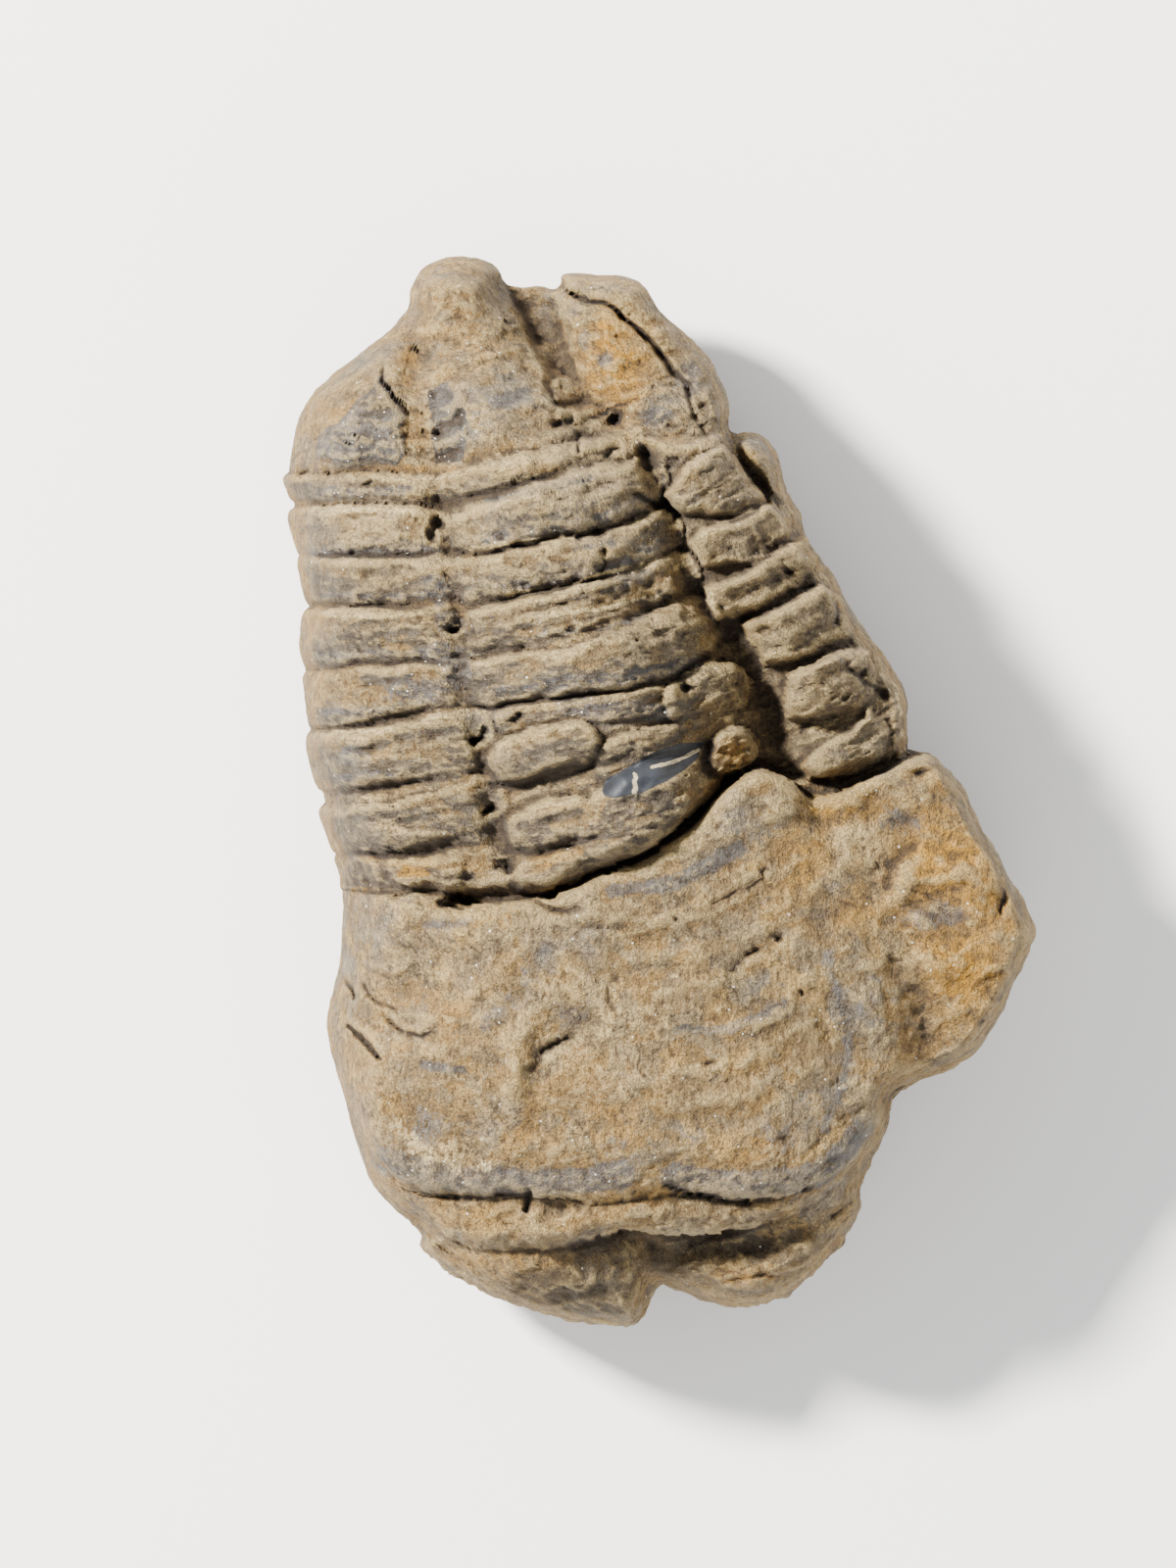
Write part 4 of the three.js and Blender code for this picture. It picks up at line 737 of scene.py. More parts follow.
# %% Cracks across the tail, the blocks and the head, mm
TAIL_SPLIT = [[-5.3, 36.6], [-3.9, 36.1], [-2.4, 34.9], [-0.9, 33.7], [0.1, 32.3], [0.9, 31.2]]
CRACKS = [
    ([[-7.4, 38.4], [-7.2, 37.3], *TAIL_SPLIT, [2, 30.3]], 0.2,
     [1.4, 1.4, 1, 1.4, 1.9, 1.9, 1.5, 1.2, 0.8]),
    ([[-6.6, 27], [-4.2, 28.1], [-1.7, 29.3]], 0.25, [0.4, 0.9, 0.4]),
    ([[-6.2, 26.6], [-6.2, 25]], 0.2, 0.9), ([[-10.1, 30.9], [-10.1, 32], [-9.1, 32.1]], 0.18, 0.6),
    ([[-8, 27], [-6.6, 27.5]], 0.3, 1.1),
    ([[-20.8, 31.6], [-20.6, 30.4], [-20, 29.6], [-19.3, 28.7], [-18.7, 27.8]], 0.2,
     [0.6, 1.1, 1.2, 0.9, 0.5]),
    ([[1.9, 29.9], [2.4, 28], [3.6, 25.9]], 0.22, [0.8, 0.5, 0.3]),
    ([[-1.9, 21.9], [-0.3, 21.2]], 0.25, 0.9), ([[-4.1, 24.9], [-3.2, 25.6]], 0.2, 0.8),
    ([[12.4, 15], [13, 13.6], [12.8, 12.4]], 0.25, 0.7), ([[9.6, 14.6], [11.7, 15.4]], 0.25, 0.8),
    ([[5.8, 20.3], [8, 21.6], [9.8, 19.2]], 0.22, [0.3, 0.9, 0.6]),
    ([[14, 9.2], [16.6, 7.2]], 0.25, 0.7), ([[5.1, 19.9], [7.2, 20.8]], 0.25, 0.8),
    ([[-9.9, -7.8], [-7.9, -8.7], [-5.9, -8.7]], 0.28, [0.8, 1, 0.4]),
    ([[5, -13.3], [6.1, -12.5], [7.2, -11.7]], 0.16, 0.6),
    ([[3.2, -20.2], [4.5, -19.6], [6, -18.5]], 0.2, [0.8, 0.35, 0.2]),
    ([[-24.3, -12.9], [-23.6, -13.9], [-22.8, -15.2]], [0.12, 0.22, 0.2, 0.1], [1.4, 2, 1.6]),
    ([[-23.2, -17.3], [-22.1, -18.6], [-20.9, -19.9]], [0.1, 0.24, 0.26, 0.12], [1.6, 2.4, 2]),
    ([[-22.1, -14.4], [-21, -15.4], [-19.9, -15.9]], 0.16, 0.8),
    ([[-20.6, -16.5], [-19.6, -17.6], [-18.2, -18.1], [-16.6, -17.8]], 0.16, [0.5, 0.9, 0.9, 0.5]),
    ([[-9.4, -20.6], [-8.6, -19.2], [-7.4, -18.4], [-6.6, -18.1]], 0.24, [0.3, 0.8, 0.9, 0.4]),
    ([[-1, -33.4], [-0.2, -35.8]], 0.8, [0.6, 0.5]),
    ([[-3.4, -13.8], [-4, -14.3], [-3.9, -15.5], [-3.6, -16]], 0.16, 0.4),
    ([[-5.5, -10], [-3, -10.1], [-1.1, -9.9]], 0.16, 0.35),
    ([[1.5, -8.7], [3.6, -8.5], [5.9, -7.3], [7.6, -6.3]], 0.2, [0.3, 0.6, 0.6, 0.4]),
    ([[-21, -27.7], [-17.7, -29.6], [-14.8, -30.1], [-10.1, -30]], 0.2, [0.4, 0.7, 0.9, 0.8]),
    ([[-9.8, -29.8], [-10, -31]], 0.22, 1.1), ([[0.3, -29.4], [2, -29.8], [6.4, -30.4]], 0.22, 0.9),
    ([[18.6, -4.2], [17.2, -5.2], [16.8, -7]], 0.3, 0.4), ([[25.7, -6.6], [25, -8.8]], 0.25, 0.8),
    ([[19, 1.5], [20.3, 2.4]], 0.25, 0.9), ([[3.5, 3.4], [3.4, 2], [4.5, 0.9]], 0.4, 1.2),
    ([[4.1, 3.6], [5.2, 3.9], [6.6, 4.1]], 0.14, 0.3), ([[4, 2.9], [5.4, 3], [7, 3.3]], 0.14, 0.35),
    ([[4.6, -36.6], [7.4, -36], [9.4, -36.2], [11.6, -34.8]], 0.2, [0.3, 0.6, 0.5, 0.7]),
    ([[12.8, -31.6], [14.6, -30.2], [15.2, -28.4]], 0.22, 0.7),
    ([[-17.4, -34.4], [-15.4, -35], [-14.6, -36.6]], 0.16, 0.5),
    ([[4.2, 2.2], [5.4, 2], [6.6, 2.3]], 0.14, 0.3), ([[6.4, 4.6], [7.2, 3.6], [7.2, 2.4]], 0.25, 0.9),
    ([[23.6, -0.8], [24.6, -3.4], [25.3, -5.8], [25.4, -8.2]], 0.3, [0.6, 1, 1.4, 0.8]),
]
print("other cracks:", len(CRACKS))

# %% [markdown]
# ### Pits and plates
#
# Crystals that fell out have left steep oval holes.  Where a thin layer of shell or rock is kept, or
# has split away, its face is flat and its edge sharp.  Noise can't give such a shape, so each plate
# is a ring that is raised or sunk as a whole, over an edge of a quarter of a millimetre or more.

# %% Pits and plates, mm
PITS = [                         # x, y, half width, half length, depth
    [-16.5, 19.8, 0.5, 0.55, 1.5], [-17, 19, 0.3, 0.5, 0.9], [-15.4, 12.1, 0.65, 0.3, 1.4],
    [-13.7, 3.9, 0.7, 0.35, 1.6], [-13.1, 4.6, 0.3, 0.45, 1], [-12.6, -1.2, 0.5, 0.4, 1.5],
    [-11.3, -5.7, 0.4, 0.3, 1], [-15, -8.2, 1.15, 0.5, 3], [-14.8, 17.9, 0.4, 0.25, 0.9],
    [-26.7, 23.7, 0.25, 0.3, 1], [-24.8, 23.9, 0.2, 0.25, 0.7], [-21.7, 22.8, 0.4, 0.2, 1],
    [1.9, 7.8, 0.5, 0.4, 1.6], [-3.4, 27.7, 0.6, 0.4, 1.6], [8.7, -10.9, 0.22, 0.22, 0.9],
    [7.5, -5.9, 0.22, 0.25, 0.8], [10.6, -14.8, 0.2, 0.2, 0.8], [-1, 24.3, 0.9, 0.6, 1.5],
    [1.1, -9.3, 0.2, 0.2, 0.6], [-12.9, 6.3, 0.5, 0.3, 1], [-22.8, 17.9, 0.35, 0.25, 0.6],
    [9.5, 16.4, 0.4, 0.3, 1], [14.9, 9, 0.35, 0.25, 0.8], [-11.7, 18.9, 0.6, 0.22, 0.8],
    [-0.9, 15.4, 0.7, 0.35, 0.6], [-2.6, 14.9, 0.45, 0.3, 0.5], [0.4, 14.2, 0.5, 0.4, 0.6],
    [-6.6, 12.2, 0.4, 0.3, 0.8], [-4.6, 19.1, 0.7, 0.3, 0.7], [-1.2, 20.4, 0.5, 0.3, 0.5],
    [-10.4, 15.3, 0.6, 0.25, 0.8], [2, 12.9, 0.4, 0.5, 0.5], [-22, 14.5, 0.4, 0.25, 0.6],
    [-10.6, 5.5, 0.5, 0.3, 0.8], [-25.2, 10.4, 0.3, 0.3, 0.7],
]
SLATE_PLATE = [[-25.8, 24.9], [-25.3, 26.6], [-23.6, 27.6], [-22.6, 29], [-21.3, 30], [-20.9, 31.2],
               [-20.4, 30.2], [-19.6, 29], [-18.8, 27.7], [-19.3, 26.9], [-18.8, 25.4], [-19.6, 24.1],
               [-21.4, 24.6], [-23.6, 24.4]]
CRYSTALS = [[-17.4, 29.9], [-15.8, 30.4], [-14.6, 28.6], [-14.4, 26], [-14.9, 24.4], [-16.8, 24.3]]
RAISED_PLATES = [                # ring, height, width of the edge
    (SLATE_PLATE, 0.5, 0.35),
    ([[-7.3, 38.9], [-7.1, 37.3], *TAIL_SPLIT, [2.3, 29.8], [4.8, 26.6], [9, 30], [6, 37], [-2, 43],
      [-8, 42]], 0.6, 0.3),
    (CRYSTALS, -0.5, 0.4),
    ([[-17.9, 27], [-17.7, 28.3], [-14.5, 29.6], [-14.7, 28.2], [-17, 26.5]], 0.6, 0.25),
    ([[-16.8, 25], [-17, 25.8], [-14.7, 27.5], [-14.2, 26.5], [-15.4, 25.3]], 0.6, 0.25),
    ([[15.8, -8.9], [17.3, -4.3], [21, -3.8], [24.2, -5.3], [23.9, -7.4], [18.9, -7.6], [17.7, -9.9]],
     0.5, 1.7),
    ([[18, -11], [20.6, -10.4], [25.4, -10], [26, -13], [22.6, -17.4], [19.4, -18.6], [18.6, -14.5]],
     0.45, 1.6),
    ([[-10.8, -6.6], [-7.3, -4.2], [-4.9, -3.8], [-5, -4.9], [-7.6, -7]], 0.35, 0.35),
    ([[-22.3, -11.8], [-20.7, -11.2], [-19, -11.7], [-18, -12.6], [-19, -13.5], [-20.8, -13.8],
      [-22.1, -13]], 0.4, 0.3),
    ([[-20.4, -16.3], [-18.9, -16.1], [-17.2, -16.3], [-16.3, -17], [-17.2, -17.8], [-18.4, -18],
      [-19.7, -17.5]], 0.4, 0.3),
]
TAIL_STEPS = [                   # the wall on the axis's right side, and layers that end in steps there
    ([[-11.9, 39], [-8.5, 38.6], [-7.4, 34.9], [-6.1, 32.3], [-5.2, 29.8], [-4.2, 28.3], [-8.2, 28.3],
      [-8.8, 29.8], [-9.3, 31.6], [-10.2, 33.8], [-11.2, 36]], -1.2, 0.5),
    ([[-10.2, 32], [-8.5, 32.1], [-8.5, 30.4], [-10.4, 30.1]], 0.35, 0.25),
    ([[-8.4, 30.7], [-5.5, 30.5], [-5.1, 29.2], [-8.1, 28.8]], 0.7, 0.25),
    ([[-7.9, 28.5], [-3.5, 28.7], [-2.4, 27.6], [-7.5, 26.9]], 0.6, 0.25),
]
print("pits:", len(PITS), " plates:", len(RAISED_PLATES) + len(TAIL_STEPS))

# %% [markdown]
# ### Wrinkles and valleys of the head
#
# The shield has low folds that fan out below the crack, and it dips between the middle and the
# spread cheek.  They are wide and low, so they take the soft section, and the dips the bell.

# %% Wrinkles and valleys, mm
WRINKLES = [
    ([[15.5, -21.3], [16.9, -18.4], [15.1, -14], [12.6, -12.2]], 3, [1, 1.2, 1, 0.6]),
    ([[5.5, 0.6], [7.4, 0.9], [9, -0.6]], 2.6, 0.8),
    ([[-20, -9.8], [-14, -10.4], [-6, -9], [0, -6.2], [4.5, -2.6]], 2.2, 0.5),
    ([[-22.4, -11.5], [-19.6, -11.4], [-17.6, -12]], 1, 0.22),
    ([[-22.6, -13], [-19.4, -13.2], [-16.2, -13.8]], 1, 0.25),
    ([[-22.9, -14.9], [-20.6, -15.9], [-16.7, -16.4]], 1.1, 0.3),
    ([[-22.6, -17.4], [-20, -19], [-16.7, -18.9]], 1.2, 0.3),
    ([[-10.8, -24], [-11, -20.6], [-10.2, -17.6], [-8.4, -14.8]], 1.6, [0.3, 0.7, 0.7, 0.3]),
    ([[-3.4, -9.9], [2, -9], [5.6, -7.2], [7.6, -5]], 1.2, 0.3),
    ([[-1.6, -12.2], [3.6, -11.9], [6.9, -10.4], [9.2, -8]], 1.2, 0.25),
    ([[0.2, -14.4], [4.9, -14], [8.4, -12.4], [10.4, -10]], 1.2, 0.25),
    ([[1, -17.7], [4, -17.7], [6.8, -17.1], [9.1, -15.9], [10.9, -13.6]], 1.1, 0.3),
    ([[0.8, -20.6], [5.6, -20.2], [9.6, -17.9], [11.4, -15.6]], 1.2, 0.25),
    ([[1, -23], [6.4, -22.6], [11, -20.4]], 1.3, 0.25),
    ([[-13, -26.2], [-6, -26.6], [1, -26.2], [8, -26.4]], 1.8, 0.5),
    ([[20.4, -3.2], [23.2, -7.2], [25, -11]], 2, 0.5),
    ([[13.8, -0.6], [17, 0.2], [19.5, -0.8]], 1.8, 0.6),
    ([[-17.5, -31], [-11.4, -32.3], [-4, -32], [3, -31.4], [9, -30.7]], 0.7, 0.3),
]
HEAD_VALLEYS = [
    ([[12, -11.5], [12.6, -9.3], [15.6, -7.4], [16.6, -5], [19.8, -3.6]], 1.7,
     [0.6, 0.7, 0.8, 0.5, 0.2]),
    ([[19.9, -19.5], [19.5, -16.2], [18.6, -12.6], [17, -10.4]], 1.8, [0.9, 0.8, 0.5, 0.2]),
    ([[11, -0.6], [12, -3], [11.6, -5.6]], 1.1, [0.8, 0.6, 0.3]),
    ([[-14.8, -22.5], [-14.2, -26], [-15, -29]], 1.3, [0.2, 0.5, 0.4]),
    ([[-3.5, -14], [-5.3, -16.8], [-7.4, -18.3], [-9, -19.8], [-9.5, -22.2], [-9.8, -25]], 0.9,
     [0.3, 0.5, 0.65, 0.5, 0.3, 0.2]),
]
print("wrinkles:", len(WRINKLES), " valleys:", len(HEAD_VALLEYS))

# %% [markdown]
# ### Relief
#
# Functions turn these lists into heights: the highest rib or ring, plus the highest block, less the
# furrows.  Taking the highest and not the sum keeps two forms that touch from piling up.

# %% Relief at a point of the plan
BLOCK_LEAN = 0.6                 # how much higher a block's upper left stands than its middle
LEAN_WAY = (-0.9, 0.6)           # the way in the plan that its face rises
LEAN_REACH = 3                   # mm from the middle over which it does
FURROW_STOP = 0.6                # share of a furrow's depth that a block keeps out
STOP_HEIGHT = 1.5                # mm of block at which it does
RIB_TILT = 0.3                   # how much steeper a rib is on its tail side


def block(ring, height, width, x, y):
    """A broken rib end: its edge is rounded and its face leans, highest towards axis and tail."""
    middle = np.mean(ring, 0)
    rise = LEAN_WAY[1] * (y - middle[1]) + LEAN_WAY[0] * (x - middle[0])
    lean = np.clip(rise / LEAN_REACH, -1, 1)
    return height * (1 + BLOCK_LEAN * lean) * rounded_edge(depth_inside(ring, x, y), width)


def relief(x, y):
    """What stands on the trunk: the highest rib or ring + the highest block - all furrows, inside
    the trunk's edge only.  Where a block stands the furrows are less deep."""
    ribs = highest(along(ridge, stroke, x, y, tilt=RIB_TILT)
                   for stroke in [*LEFT_RIBS, *AXIS_RINGS, RIGHT_MARGIN])
    blocks = highest(block(ring, height, width, x, y) for ring, height, width in RIGHT_BLOCKS)
    cut = 1 - FURROW_STOP * np.minimum(blocks / STOP_HEIGHT, 1)
    raised = ribs + blocks - cut * total(groove, FURROWS, x, y)
    return np.where(depth_inside(TRUNK_EDGE, x, y) > 0, raised, 0)


def plates(rings, x, y):
    """The sum of flat plates: height x a steep ease from the ring's edge inwards."""
    return sum(height * ease(0, width, depth_inside(ring, x, y)) for ring, height, width in rings)


def pits(x, y):
    """Steep oval holes: depth x e to the power of minus (distance in half widths) to the fourth."""
    return highest(depth * np.exp(-np.hypot((x - px) / half_x, (y - py) / half_y) ** 4)
                   for px, py, half_x, half_y, depth in PITS)


print("relief on the fourth rib, mm:", np.round(relief(place - 16, place + 16.3), 1))

# %% [markdown]
# ### Broken shell and layered rock
#
# Between the drawn forms the surface is broken in a way that has no plan: shell is kept in patches,
# and the rock under it comes off in steps that run along the ribs.  Noise gives such a pattern once
# it is drawn out along the ribs and cut with a steep border, instead of being used as soft hills.

# %% Shell, layers and chips
SHELL = 0.22                     # mm, thickness of the shell that is kept in places
LEDGE = 0.22                     # mm, height of the steps in which the layered rock breaks
CHIP = 0.5                       # mm, depth of what is broken out
RIB_SLOPES = [(-14, 0.25), (2, 0.2)]     # past this x the ribs rise by this much more of their way
SHELL_NOISE = (4.5, 6, 31, 0.62)         # widest in mm, octaves, seed, what each octave keeps
LAYER_NOISES = [(3.4, 5, 71, 0.6), (1.4, 4, 81, 0.6)]
LAYER_STEPS = (3.4, 3)           # steps in which each of those noises is cut
CHIP_NOISE = (2.2, 4, 96, 0.6)


def rib_rows(x, y):
    """The plan bent so that a rib keeps one row: y less each slope x the way past its start."""
    rows = y
    for start, slope in RIB_SLOPES:
        rows = rows - slope * np.maximum(x - start, 0)
    return rows


def laid(x, y, along_ribs, across_ribs):
    """Places for a noise on the plan, scaled on its own along and across the ribs: the smaller the
    scale, the longer the spots."""
    return np.stack([along_ribs * x, across_ribs * rib_rows(x, y), 0 * x], -1)


def broken_shell(x, y):
    """1 where the shell is kept, 0 where it has broken away, with a steep ragged border."""
    return ease(-0.03, 0.05, rough_noise(laid(x, y, 0.6, 1.5), *SHELL_NOISE) - 0.02)


def broken_layers(x, y):
    """Steps of layered rock: two noises drawn out along the ribs and cut into whole steps."""
    wide, narrow = (rough_noise(laid(x, y, 0.5, 1.5), *noise) for noise in LAYER_NOISES)
    return LEDGE * (stepped(LAYER_STEPS[0] * wide + 0.5) + 0.7 * stepped(LAYER_STEPS[1] * narrow))


def chips(x, y):
    """Spots where noise is high are broken out, with steep borders."""
    return CHIP * ease(0.34, 0.44, rough_noise(laid(x, y, 0.7, 1.3), *CHIP_NOISE))


print("shell:", SHELL, "mm thick, layers:", LEDGE, "mm, chips:", CHIP, "mm deep")

# %% [markdown]
# ### The polished patch and ragged borders
#
# One patch of shell on the axis is worn smooth and dark.  It is a ring like a plate, but inside it
# the layers, the chips and most of the grain are left out.  The drawn lines of all forms are a
# little too smooth for stone.  More points in each line would be one way; here the place at which a
# form is read is pushed about by noise, and for holes by a finer one as well.

# %% The polished patch and the ragged holes
POLISHED = [[-4.5, 0], [-4.2, 1], [-2.4, 2], [-0.6, 3.1], [1.4, 3.7], [3.4, 3.8], [2.9, 2.4],
            [1.8, 1.5], [0.4, 0.6], [-1.4, -0.2], [-3.4, -0.6], [-4.3, -0.5]]
POLISHED_BORDER = 0.35           # mm
WIDE_DRIFT = 0.36                # mm that noise 3.4 mm wide pushes the drawn forms about
FINE_DRIFT = 0.2                 # mm that noise 1.1 mm wide does
HOLE_DRIFT = 0.45                # mm that noise 0.9 mm wide pushes the borders of holes about


def polished(x, y):
    """1 on the patch of shell that is worn smooth, eased over its border."""
    return ease(0, POLISHED_BORDER, depth_inside(POLISHED, x, y))


def drifted(x, y):
    """The places, each coordinate pushed about by a wide and a fine noise of its own."""
    flat = np.stack([x, y, 0 * x], -1)
    return [place + WIDE_DRIFT * rough_noise(flat, 3.4, 2, seed)
            + FINE_DRIFT * rough_noise(flat, 1.1, 3, seed + 5) for place, seed in ((x, 50), (y, 60))]


def holes(x, y):
    """The pits with ragged borders: they are read at places that finer noise pushes about too."""
    flat = np.stack([x, y, 0 * x], -1)
    wx, wy = drifted(x, y)
    return pits(wx + HOLE_DRIFT * rough_noise(flat, 0.9, 2, 120),
                wy + HOLE_DRIFT * rough_noise(flat, 0.9, 2, 130))


print("the place -5, -5 is read at", np.round(drifted(place, place), 2).ravel())

# %% [markdown]
# ## The back in one function
#
# All forms come together here.  Every point of the plan could simply be lifted to its height, but
# then the rim would be a wall.  So the back bends over there like a rounded edge, and what stands on
# it points outwards, and the ribs still show from the side.

# %% The rim, mm
RIM_HEIGHT = [
    [-14.8, 39.3, 12], [-5.3, 37.8, 12], [-27.2, 24.7, 13], [-26.5, 7.9, 14], [-23.9, -14, 14],
    [-22.1, -27.2, 13], [-14.8, -36.6, 9.5], [-2.4, -39.6, 9.5], [6.4, -38.1, 9.5],
    [15.1, -30.8, 10], [23.9, -18.4, 13], [27.5, -10.4, 14], [21, 1.3, 14], [18, 6.4, 14],
    [10.7, 19.6, 13], [4.9, 28.3, 12],
]
RIM_HEIGHT_REACH = 6.6
RIM_BEND = [
    [-27.2, 22.5, 4.4], [-26.5, 7.9, 3.9], [-23.9, -14, 4.6], [-14.8, 38.5, 2.9],
    [-5.3, 37.8, 1.6], [4.9, 28.3, 1.6], [15.1, 12.3, 1.5], [18.4, 4.2, 1.2], [23.9, -3.8, 1.3],
    [27.5, -11.1, 1.3], [21, -19.9, 1.4], [16.6, -25, 2], [14.9, -31, 3.4], [2, -37.4, 3.6],
    [-12.6, -38.1, 4.2], [-22.1, -26.4, 2.4],
]
RIM_BEND_REACH = 5.8
RIM_SHARE = 0.5                  # share of a rib's height that shows at the widest line
RIM_INSET = 0.3                  # and how far the grooves between them cut in there
RIBBED = (-8, -6, 22, 25)        # mm of the length over which the grooves there begin and end
WORN = 0.4                       # share by which wear changes the height of ribs and blocks
WEAR_NOISE = (5, 3, 66)          # widest in mm, octaves, seed
LAYERED = (1.2, 0.2)             # how strongly the rock breaks in layers on the trunk and elsewhere
SPLIT = (0.7, 1.2)               # share of a crack's drawn depth, and how it grows with each mm of drift
print("known heights of the rim:", len(RIM_HEIGHT), " known widths of its bend:", len(RIM_BEND))

# %% From plan to back
def back_surface(plan):
    """Body height bends over at the rim; relief and fine forms stand on it, square to the bend.
    With d the distance to the outline in widths of the bend, the body keeps sqrt(1 - (1 - d)^2)."""
    x, y = plan[..., 0], plan[..., 1]
    flat = np.stack([x, y, 0 * x], -1)
    wx, wy = drifted(x, y)
    trunk, head = trunk_body(wx, wy), head_body(wx, wy)
    on_trunk = trunk > head
    head += np.where(head > 0, total(swell, WRINKLES, wx, wy) - total(groove, HEAD_VALLEYS, wx, wy), 0)
    stumps = highest(ledge_body(stump, wx, wy) for stump in STUMPS) - along(groove, RECESS, wx, wy)
    body = highest([trunk, head, ledge_body(LIP, wx, wy), stumps, crack_floor(x, y),
                    np.full(x.shape, LOWEST_BACK)])

    raised = relief(wx, wy) * (1 + WORN * rough_noise(flat, *WEAR_NOISE))
    layers = (broken_layers(x, y) - chips(x, y)) * (1 - polished(x, y))
    splits = highest(along(groove, s, wx, wy) for s in GROOVE_CRACKS + RIB_FURROWS)
    fine = (plates(RAISED_PLATES + TAIL_STEPS, wx, wy) + SHELL * broken_shell(x, y)
            + np.where(on_trunk, *LAYERED) * layers - splits * (SPLIT[0] + SPLIT[1] * (wx - x))
            - highest(along(groove, s, wx, wy) for s in CRACKS) - holes(x, y))

    distance, way_x, way_y, _, _ = nearest_on(outline, x, y, closed=True)
    rim = mean_height(RIM_HEIGHT, RIM_HEIGHT_REACH, x, y)
    lean = 1 - np.clip(distance / mean_height(RIM_BEND, RIM_BEND_REACH, x, y), 0, 1)
    upright = np.sqrt(1 - lean * lean)
    ribbed = ease(RIBBED[0], RIBBED[1], y) * ease(RIBBED[3], RIBBED[2], y)
    outward = lean * (RIM_SHARE * np.maximum(raised, -RIM_INSET) - RIM_INSET * ribbed)
    return np.stack([x - outward * way_x, y - outward * way_y,
                     rim + (body - rim) * upright + (raised + fine) * upright], -1)


back = back_surface(plan)
print("back, mm: highest", round(float(back[..., 2].max()), 1),
      " lowest", round(float(back[..., 2].min()), 1))

# %% [markdown]
# ## The flank and the base
#
# Below its widest line the stone rounds in to a flat face that it rests on.  A second grid like the
# back's could have ribs of its own, but this part is worn down and stays plain: each point of the
# widest line runs in and down on most of a quarter turn, and the ribs fade on the way.

# %% From the widest line to the base
FLANK_RINGS = 26
BASE_SHRINK = 0.3                # how much smaller the base is than the widest line
FLANK_TURN = 1.22                # rad that the flank turns through
BASE_ROUND = 0.5                 # how far the base goes over to a plain oval
BASE_OVAL = (16.5, 27)           # mm, half width and half length of that oval

grid = np.arange(back.shape[0] * back.shape[1]).reshape(back.shape[:2])
rim = np.concatenate([grid[0, :-1], grid[:-1, -1], grid[-1, :0:-1], grid[:0:-1, 0]])
rim_points = back.reshape(-1, 3)[rim][::2]


def flank(rim_points, shares):
    """Each ring: in by (1 - cos a) / (1 - cos A), down by sin a / sin A, where a is the ring's share
    of the whole turn A."""
    x, y, z = rim_points.T
    turn = np.arctan2(y / BASE_OVAL[1], x / BASE_OVAL[0])
    oval = np.stack([BASE_OVAL[0] * np.cos(turn), BASE_OVAL[1] * np.sin(turn)], -1)
    base = (1 - BASE_ROUND) * (1 - BASE_SHRINK) * rim_points[:, :2] + BASE_ROUND * oval
    angle = shares[:, None] * FLANK_TURN
    inward = ((1 - np.cos(angle)) / (1 - math.cos(FLANK_TURN)))[..., None]
    down = np.sin(angle) / math.sin(FLANK_TURN)
    sideways = rim_points[None, :, :2] * (1 - inward) + base * inward
    return np.concatenate([sideways, (z * (1 - down))[..., None]], -1)


flank_points = flank(rim_points, np.arange(1, FLANK_RINGS + 1) / FLANK_RINGS)
points = np.concatenate([back.reshape(-1, 3), flank_points.reshape(-1, 3)])
rings = grid.size + np.arange(flank_points[..., 0].size).reshape(flank_points.shape[:2])
print("flank rings:", FLANK_RINGS, " points in each:", len(rim_points))

# %% [markdown]
# ### Faces
#
# The back and the flank are quads.  The flank is plainer than the back and has half as many points
# round, so at the widest line three triangles join two steps above to one below.  One flat face
# closes the base.

# %% Faces
upper, lower = grid[:-1], grid[1:]
back_quads = np.stack([upper[:, :-1], lower[:, :-1], lower[:, 1:], upper[:, 1:]], -1).reshape(-1, 4)
after = np.roll(rings, -1, 1)
flank_quads = np.stack([rings[:-1], after[:-1], after[1:], rings[1:]], -1).reshape(-1, 4)
a, b, c = rim[::2], rim[1::2], np.roll(rim[::2], -1)
d, e = rings[0], after[0]
joining = np.concatenate([np.stack(t, -1) for t in ((a, b, d), (b, e, d), (b, c, e))])
base = rings[-1]
faces = [*back_quads.tolist(), *flank_quads.tolist(), *joining.tolist(), base.tolist()]
print("triangles:", 2 * len(back_quads) + 2 * len(flank_quads) + len(joining) + len(base) - 2)

# %% [markdown]
# ## Grain and hollows
#
# The surface is now pushed in and out along its own normals by noise of three sizes, from lumps of
# 6.5 mm to grit of under a millimetre, and cut by creases.  A Displace modifier could do that too, but
# here the rock has to be rougher where it is bare than where the shell is kept.  Last, each point is
# compared with the average of its surroundings.  A point below it lies in a hollow, which the colours
# darken with painted shade and dirt.  A point above it is painted pale, as wear and as a painted
# highlight on the edge.

# %% Normals and neighbours
quads = np.concatenate([back_quads, flank_quads])
triangles = np.concatenate([quads[:, [0, 1, 2]], quads[:, [0, 2, 3]], joining])
sides = np.concatenate([quads[:, [0, 1]], quads[:, [1, 2]], quads[:, [2, 3]], quads[:, [3, 0]],
                        joining[:, [0, 1]], joining[:, [1, 2]], joining[:, [2, 0]]])
COUNT = len(points)
print("points:", COUNT, " sides of faces:", len(sides))


def gather(targets, values):
    """Adds up the values that belong to each point."""
    return np.stack([np.bincount(targets, value, COUNT) for value in values.T], -1)


def point_normals(points):
    """The sum of the normals of the triangles round a point, made one long."""
    p, q, r = (points[triangles[:, k]] for k in range(3))
    normals = np.cross(q - p, r - p)
    normals = sum(gather(triangles[:, k], normals) for k in range(3))
    return normals / np.linalg.norm(normals, axis=1, keepdims=True)


